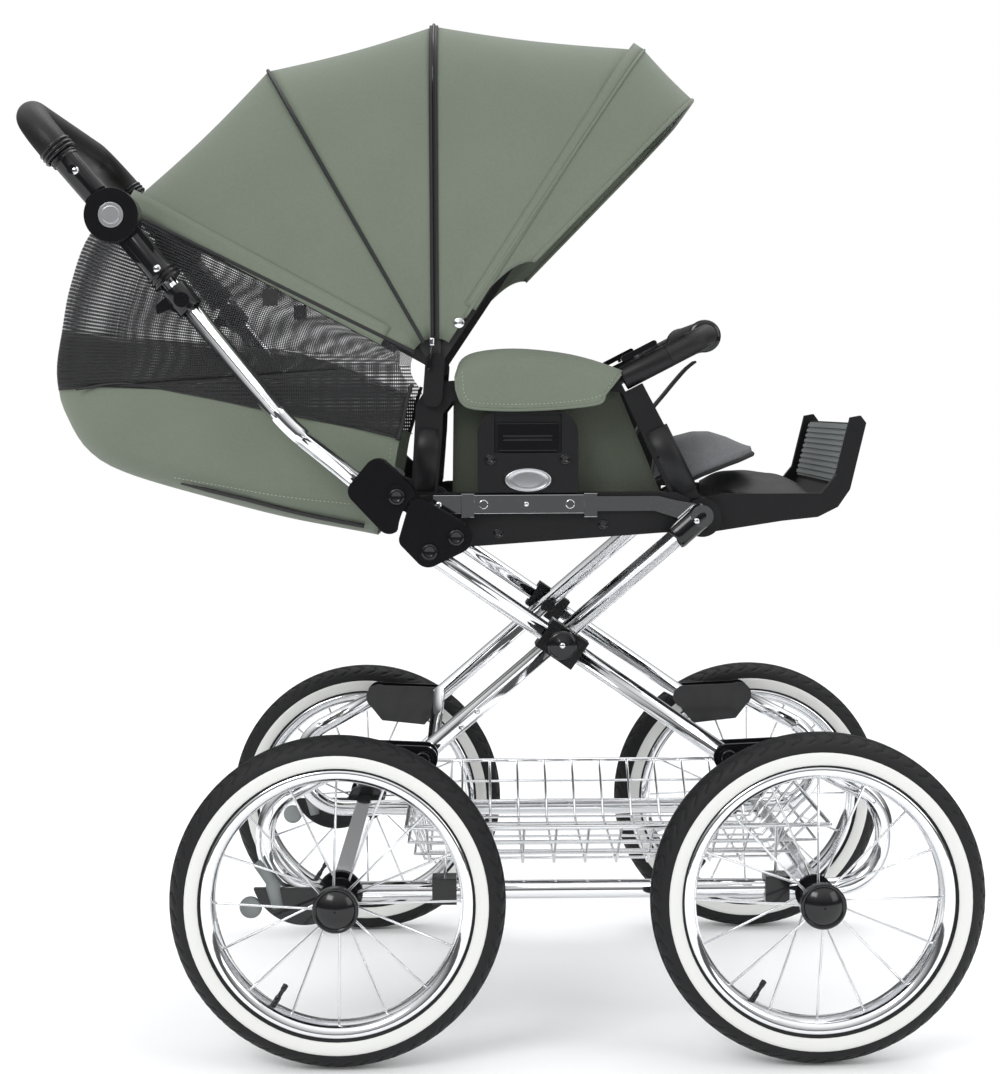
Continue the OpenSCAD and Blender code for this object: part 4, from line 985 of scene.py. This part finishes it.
frontFace, rearFace = faceOf("front_links"), faceOf("rear_links")
disc("front_link_rivets", boltHead, [(228, 318, frontFace), (162, 316, frontFace)], look["gloss_black"], "gloss_black", "front_link")
disc("rear_link_rivets", boltHead, [(-228, 318, rearFace), (-162, 316, rearFace)], look["gloss_black"], "gloss_black", "rear_link")
disc("fold_bolts", boltHead, [(-125, 551, faceOf("lower_fold_casings")), (-153, 536, faceOf("lower_fold_casings"))], look["gloss_black"],
     "gloss_black", "outer_scissor")
disc("upper_casing_bolts", boltHead, [(-187, 594, faceOf("upper_fold_casings"))], look["gloss_black"], "gloss_black", "handle")
disc("inner_frame_rivets", smallRivet, [(-121, 345, 190.9), (-104, 362, 190.9), (131, 565, 191.6)], look["bright"],
     "silver_button", "inner_scissor")
disc("crossing_nut", [[0, 5.5], [6, 5.4], [7, 4.4], [12.5, 4.2], [15, 2.6], [16, 0], [16, -1], [0, -1]],
     [(-14, 437, faceOf("crossing_clamps"))], look["gloss_black"], "gloss_black", "outer_scissor", 40)
disc("crossing_screw", smallRivet, [(-14, 437, faceOf("crossing_clamps") + 5.4)], look["bright"], "silver_button", "outer_scissor")
topAt, legDir = np.array([137.0, 570.0]), np.array([151.0, 133.0]) / math.hypot(151, 133)
sleevePath = inPlane(np.array([topAt + legDir * d for d in np.linspace(9, -38, 12)]), 181)
sleevePoints, sleeveFaces = tube(sleevePath, np.interp(np.arange(12), [0, 1, 2, 10, 11], [10.5, 12.6, 13.2, 13.2, 12.2]), (0, 1, 0), 32)
sleevePoints[:, 1] = 181 + (sleevePoints[:, 1] - 181) * 0.80
newPiece("leg_end_sleeves", *bothSides(sleevePoints, sleeveFaces), look["gloss_black"], "inner_scissor", "gloss_black")
disc("arm_rivets", rivet, [(-519 + 3, 935 - 2, 206 + 13.2)], look["bright"], "silver_button", "upper_handle")
disc("socket_rivets", rivet, [(-433, 832, 206 + 14.2)], look["bright"], "silver_button", "handle")


disc("rail_rivets", smallRivet, [(-144, 583, faceOf("seat_rails") - 1), (-50, 583, faceOf("seat_rails") - 2)], look["bright"],
     "silver_button", "seat")
disc("plate_screws", screw, [(-88, 631, faceOf("side_plates") + 0.2), (-8, 631, faceOf("side_plates") + 0.2)], look["gloss_black"],
     "matte_black", "seat", 28)
disc("frame_buttons", screw, [(-80, 551, 165.2), (33, 560, 165.2)], look["gloss_black"], "matte_black", "seat", 28)
disc("post_screws", screw, [(-157, 640, 162.2), (97, 632, 162.2)], look["gloss_black"], "matte_black", "seat", 24)


# lower halves of the armrest posts: half-round tubes on the posts' outer faces
postParts = []
for line, half in ([(-154.5, 664), (-156, 640), (-159.5, 598)], 14.6), ([(89, 662), (103, 634), (122, 594)], 14.8):
    postPoints, postFaces = tube(inPlane(np.array(line, float), 157), [half, half, half], (0, 1, 0), 36)
    postPoints[:, 1] = 157 + (postPoints[:, 1] - 157) * 0.52
    postParts.append(bothSides(postPoints, postFaces))
newPiece("post_tubes", *joined(postParts), look["matte_black"], "seat", "matte_black")


def ovalBadge():
    # a bare oval, slightly domed, with a raised rim: radius runs from the middle to the rim
    ring = np.array([0.001, 0.3, 0.6, 0.82, 0.86, 0.93, 0.98, 1.0, 1.0])
    rise = np.array([1.5, 1.45, 1.25, 1.0, 1.5, 1.6, 1.3, 0.7, -0.6])
    turn = np.linspace(0, 2 * math.pi, 64, endpoint=False)
    x = -48 + 25 * ring[:, None] * np.cos(turn)[None]
    z = 609 + 12.5 * ring[:, None] * np.sin(turn)[None]
    y = faceOf("side_plates") + 0.2 + rise[:, None] + 0 * x
    points = np.stack([x, y, z], -1)
    return points.reshape(-1, 3), gridFaces(len(ring), 64, wrapCols=True)


badges = newPiece("bare_badges", *bothSides(*ovalBadge()), look["silver_button"], "seat", "silver_button")
closePoles(badges)

# grip: collar rings, a seam line and the double stitches along the inside
knobAt = jointAt["handle_angle"][[0, 2]]
armDir = np.array([-93.0, 110.0]) / math.hypot(93, 110)
gripCorners = [(-206, 84), (-206, 144), (206, 144), (206, 84)]


def onHandle(points, lift=(0, 0)):
    # (y, distance along the arm) to the row frame; lift is square to the arm, then along it
    p = np.asarray(points, float)
    across = np.array([-armDir[1], armDir[0]])
    at = knobAt + p[:, 1:] * armDir + lift[0] * across
    return np.stack([at[:, 0], p[:, 0], at[:, 1]], 1)


collarRings = []
for along in (84.5, 89, 93.5):
    for s in (1, -1):
        ringAt = onHandle([[s * 206, along]])[0]
        profile = np.array([[16.0, -1.9], [17.8, -1.6], [18.7, 0], [17.8, 1.6], [16.0, 1.9]])
        collarRings.append(turned(profile, ringAt, (armDir[0], 0, armDir[1]), 40))
newPiece("grip_collars", *joined(collarRings), look["gloss_black"], "upper_handle", "gloss_black")
normalOut = np.array([armDir[1], 0, -armDir[0]])
seamRows = []
for angle in (-0.30, 0.30):
    offset = 17.1
    line = roundedBends(gripCorners, 56, 4.0)
    tangent = np.gradient(line, axis=0)
    tangent /= np.linalg.norm(tangent, axis=1, keepdims=True)
    inner = np.stack([tangent[:, 1], -tangent[:, 0]], 1)
    flat = line + inner * offset * math.cos(angle)
    path = onHandle(flat) - normalOut * offset * math.sin(angle)
    keep = slice(3, len(path) - 3)
    seamRows.append(stitchRow(path[keep], -normalOut * 0.4 + np.array([0, 0, 0.6]), 5.0, 3.2, 0.5))
stitches("grip_stitches", seamRows, look["dark_stitch"], "upper_handle", "grip_leather")

# bumper bar: soft cover over the crossbar with end rings
low, high = nodeBox("bumper_bar")
tip = 27.0
barDir = np.array([math.cos(math.radians(tip)), math.sin(math.radians(tip))])
socketEnd = np.array([58.0, 718.0]) + barDir * 52
barAt = socketEnd + barDir * 48


def padProfile():
    # crossbar cover: full along its length, rolled in at the ends
    y = np.linspace(-119, 119, 60)
    r = 17.0 * (1 - np.clip((np.abs(y) - 112) / 8, 0, 1) ** 2 * 0.12)
    r[[0, -1]] = 13.0
    return y, r


y, r = padProfile()
cover = np.stack([np.full(60, barAt[0]), y, np.full(60, barAt[1])], 1)
barCover = newPiece("bumper_cover", *tube(cover, r, (1, 0, 0), 40), look["black_leather"], "bumper", "black_leather")
rings = []
for s in (1, -1):
    for offset in (117, 122):
        profile = np.array([[12.0, -2.2], [17.0, -1.8], [17.9, 0], [17.0, 1.8], [12.0, 2.2]])
        rings.append(turned(profile, (barAt[0], s * offset, barAt[1]), (0, s, 0), 40))
newPiece("bumper_rings", *joined(rings), look["gloss_black"], "bumper", "gloss_black")
stitches("bumper_stitches", [stitchRow(np.stack([np.full(30, barAt[0] - 16.6), np.linspace(-110, 110, 30), np.full(30, barAt[1] - 4)], 1),
                                       (-1, 0, 0), 4.6, 3.0, 0.5)], look["dark_stitch"], "bumper", "black_leather")

# brake lever: grey tread piece and a round knob
for wheelSide, s, body in (("left", 1, "left_brake"), ("right", -1, "right_brake")):
    tread = roundedBends([(-338, 208), (-322, 186), (-316, 160)], 14, 3.0)
    newPiece("brake_tread_" + wheelSide, *tube(inPlane(tread, s * 226), np.interp(np.arange(len(tread)), [0, 3, len(tread) - 1], [5, 8, 7]),
                                               (0, 1, 0), 16), look["grey_tread"], body, "grey_tread")
    knob = np.array([[0, 5], [6, 4.6], [10, 3], [12, 0], [11, -3], [7, -4.5], [0, -5]])
    newPiece("brake_knob_" + wheelSide, *turned(knob[::-1], (-345, s * 226, 160), (0, s, 0), 32), look["grey_tread"], body, "grey_tread")
print("hard trim dressed")


# Hood cloth: each panel thickened; panels between two bows get their transform baked in, the visor is hung on the front
# hood's body

hoodSheet(rear, ("seat", "rear_hood"))
hoodSheet(mid, ("rear_hood", "middle_hood"))
hoodSheet(front, ("middle_hood", "front_hood"))
hoodSheet(visor, ("front_hood",))


# Stage, lights and camera

def stagePlane(name, size, z, colour):
    half = size / 2
    mesh = bpy.data.meshes.new(name)
    mesh.from_pydata([(-half, -half, z), (half, -half, z), (half, half, z), (-half, half, z)], [], [(0, 1, 2, 3)])
    plane = bpy.data.objects.new(name, mesh)
    bpy.context.scene.collection.objects.link(plane)
    s = Shader(name + "_paint", colour, 0.9)
    mesh.materials.append(s.material)
    return plane


stagePlane("studio_floor", 6.0, -0.001, (0.95, 0.95, 0.95))

world = bpy.data.worlds.new("studio")
bpy.context.scene.world = world
world.use_nodes = True
nodes, links = world.node_tree.nodes, world.node_tree.links
def skyLight(strength, tint=(1, 1, 1)):
    shade = nodes.new("ShaderNodeBackground")
    shade.inputs["Color"].default_value = (*tint, 1)
    shade.inputs["Strength"].default_value = strength
    return shade


def pick(ray, low, high):
    mix = nodes.new("ShaderNodeMixShader")
    links.new(rays.outputs[ray], mix.inputs[0])
    links.new(low.outputs[0], mix.inputs[1])
    links.new(high.outputs[0], mix.inputs[2])
    return mix


# reflections see a dark room below a bright ceiling: 0.10 + 1.5 * (height - 0.12), from 0.10 to 1.25
rays = nodes.new("ShaderNodeLightPath")
heading = nodes.new("ShaderNodeTexCoord")
parts = nodes.new("ShaderNodeSeparateXYZ")
ramp = nodes.new("ShaderNodeMapRange")
for socket, value in (("From Min", 0.12), ("From Max", 0.80), ("To Min", 0.10), ("To Max", 1.25)):
    ramp.inputs[socket].default_value = value
room = skyLight(1.0)
links.new(heading.outputs["Generated"], parts.inputs[0])
links.new(parts.outputs["Z"], ramp.inputs["Value"])
links.new(ramp.outputs["Result"], room.inputs["Strength"])
nodes.remove(nodes["Background"])
shown = pick("Is Camera Ray", pick("Is Glossy Ray", skyLight(1.06, (0.98, 0.99, 1.0)), room), skyLight(1.0))
links.new(shown.outputs[0], nodes["World Output"].inputs[0])


def softLight(name, place, target, size, power):
    light = bpy.data.lights.new(name, "AREA")
    light.shape = "RECTANGLE"
    light.size, light.size_y = size
    light.energy = power
    lamp = bpy.data.objects.new(name, light)
    bpy.context.scene.collection.objects.link(lamp)
    back = (np.array(place) - np.array(target)) / np.linalg.norm(np.array(place) - np.array(target))
    side = np.cross([0, 0, 1], back)
    side /= np.linalg.norm(side)
    lamp.matrix_world = Matrix(np.vstack([np.column_stack([side, np.cross(back, side), back, place]), [0, 0, 0, 1]]).tolist())
    return lamp


softLight("key_light", (-1.8, -2.6, 2.8), (0, 0, 0.6), (1.6, 1.2), 48)
softLight("fill_light", (2.6, -1.8, 1.6), (0, 0, 0.5), (1.4, 1.8), 16)
softLight("top_light", (0.2, 0.6, 3.2), (0, 0, 0.5), (2.2, 1.6), 26)

camera = {"place": (-0.1010, -2.1835, 0.6915), "yaw": 0.0112, "pitch": 0.0713, "roll": -0.0049, "lens": 62.9}


def photoCamera():
    # looks along +Y, turned by yaw, tipped down by pitch and rolled about its own line of sight
    yaw, pitch, roll = camera["yaw"], camera["pitch"], camera["roll"]
    ahead = np.array([math.sin(yaw) * math.cos(pitch), math.cos(yaw) * math.cos(pitch), -math.sin(pitch)])
    right = np.array([math.cos(yaw), -math.sin(yaw), 0.0])
    upward = np.cross(right, ahead)
    right, upward = right * math.cos(roll) + upward * math.sin(roll), upward * math.cos(roll) - right * math.sin(roll)
    data = bpy.data.cameras.new("photo_camera")
    data.lens, data.sensor_width, data.sensor_fit = camera["lens"], 36.0, "AUTO"
    data.clip_start, data.clip_end = 0.05, 100.0
    cam = bpy.data.objects.new("photo_camera", data)
    bpy.context.scene.collection.objects.link(cam)
    cam.matrix_world = Matrix(np.vstack([np.column_stack([right, upward, -ahead, camera["place"]]), [0, 0, 0, 1]]).tolist())
    bpy.context.scene.camera = cam


photoCamera()
bpy.context.scene.view_settings.view_transform = "Standard"
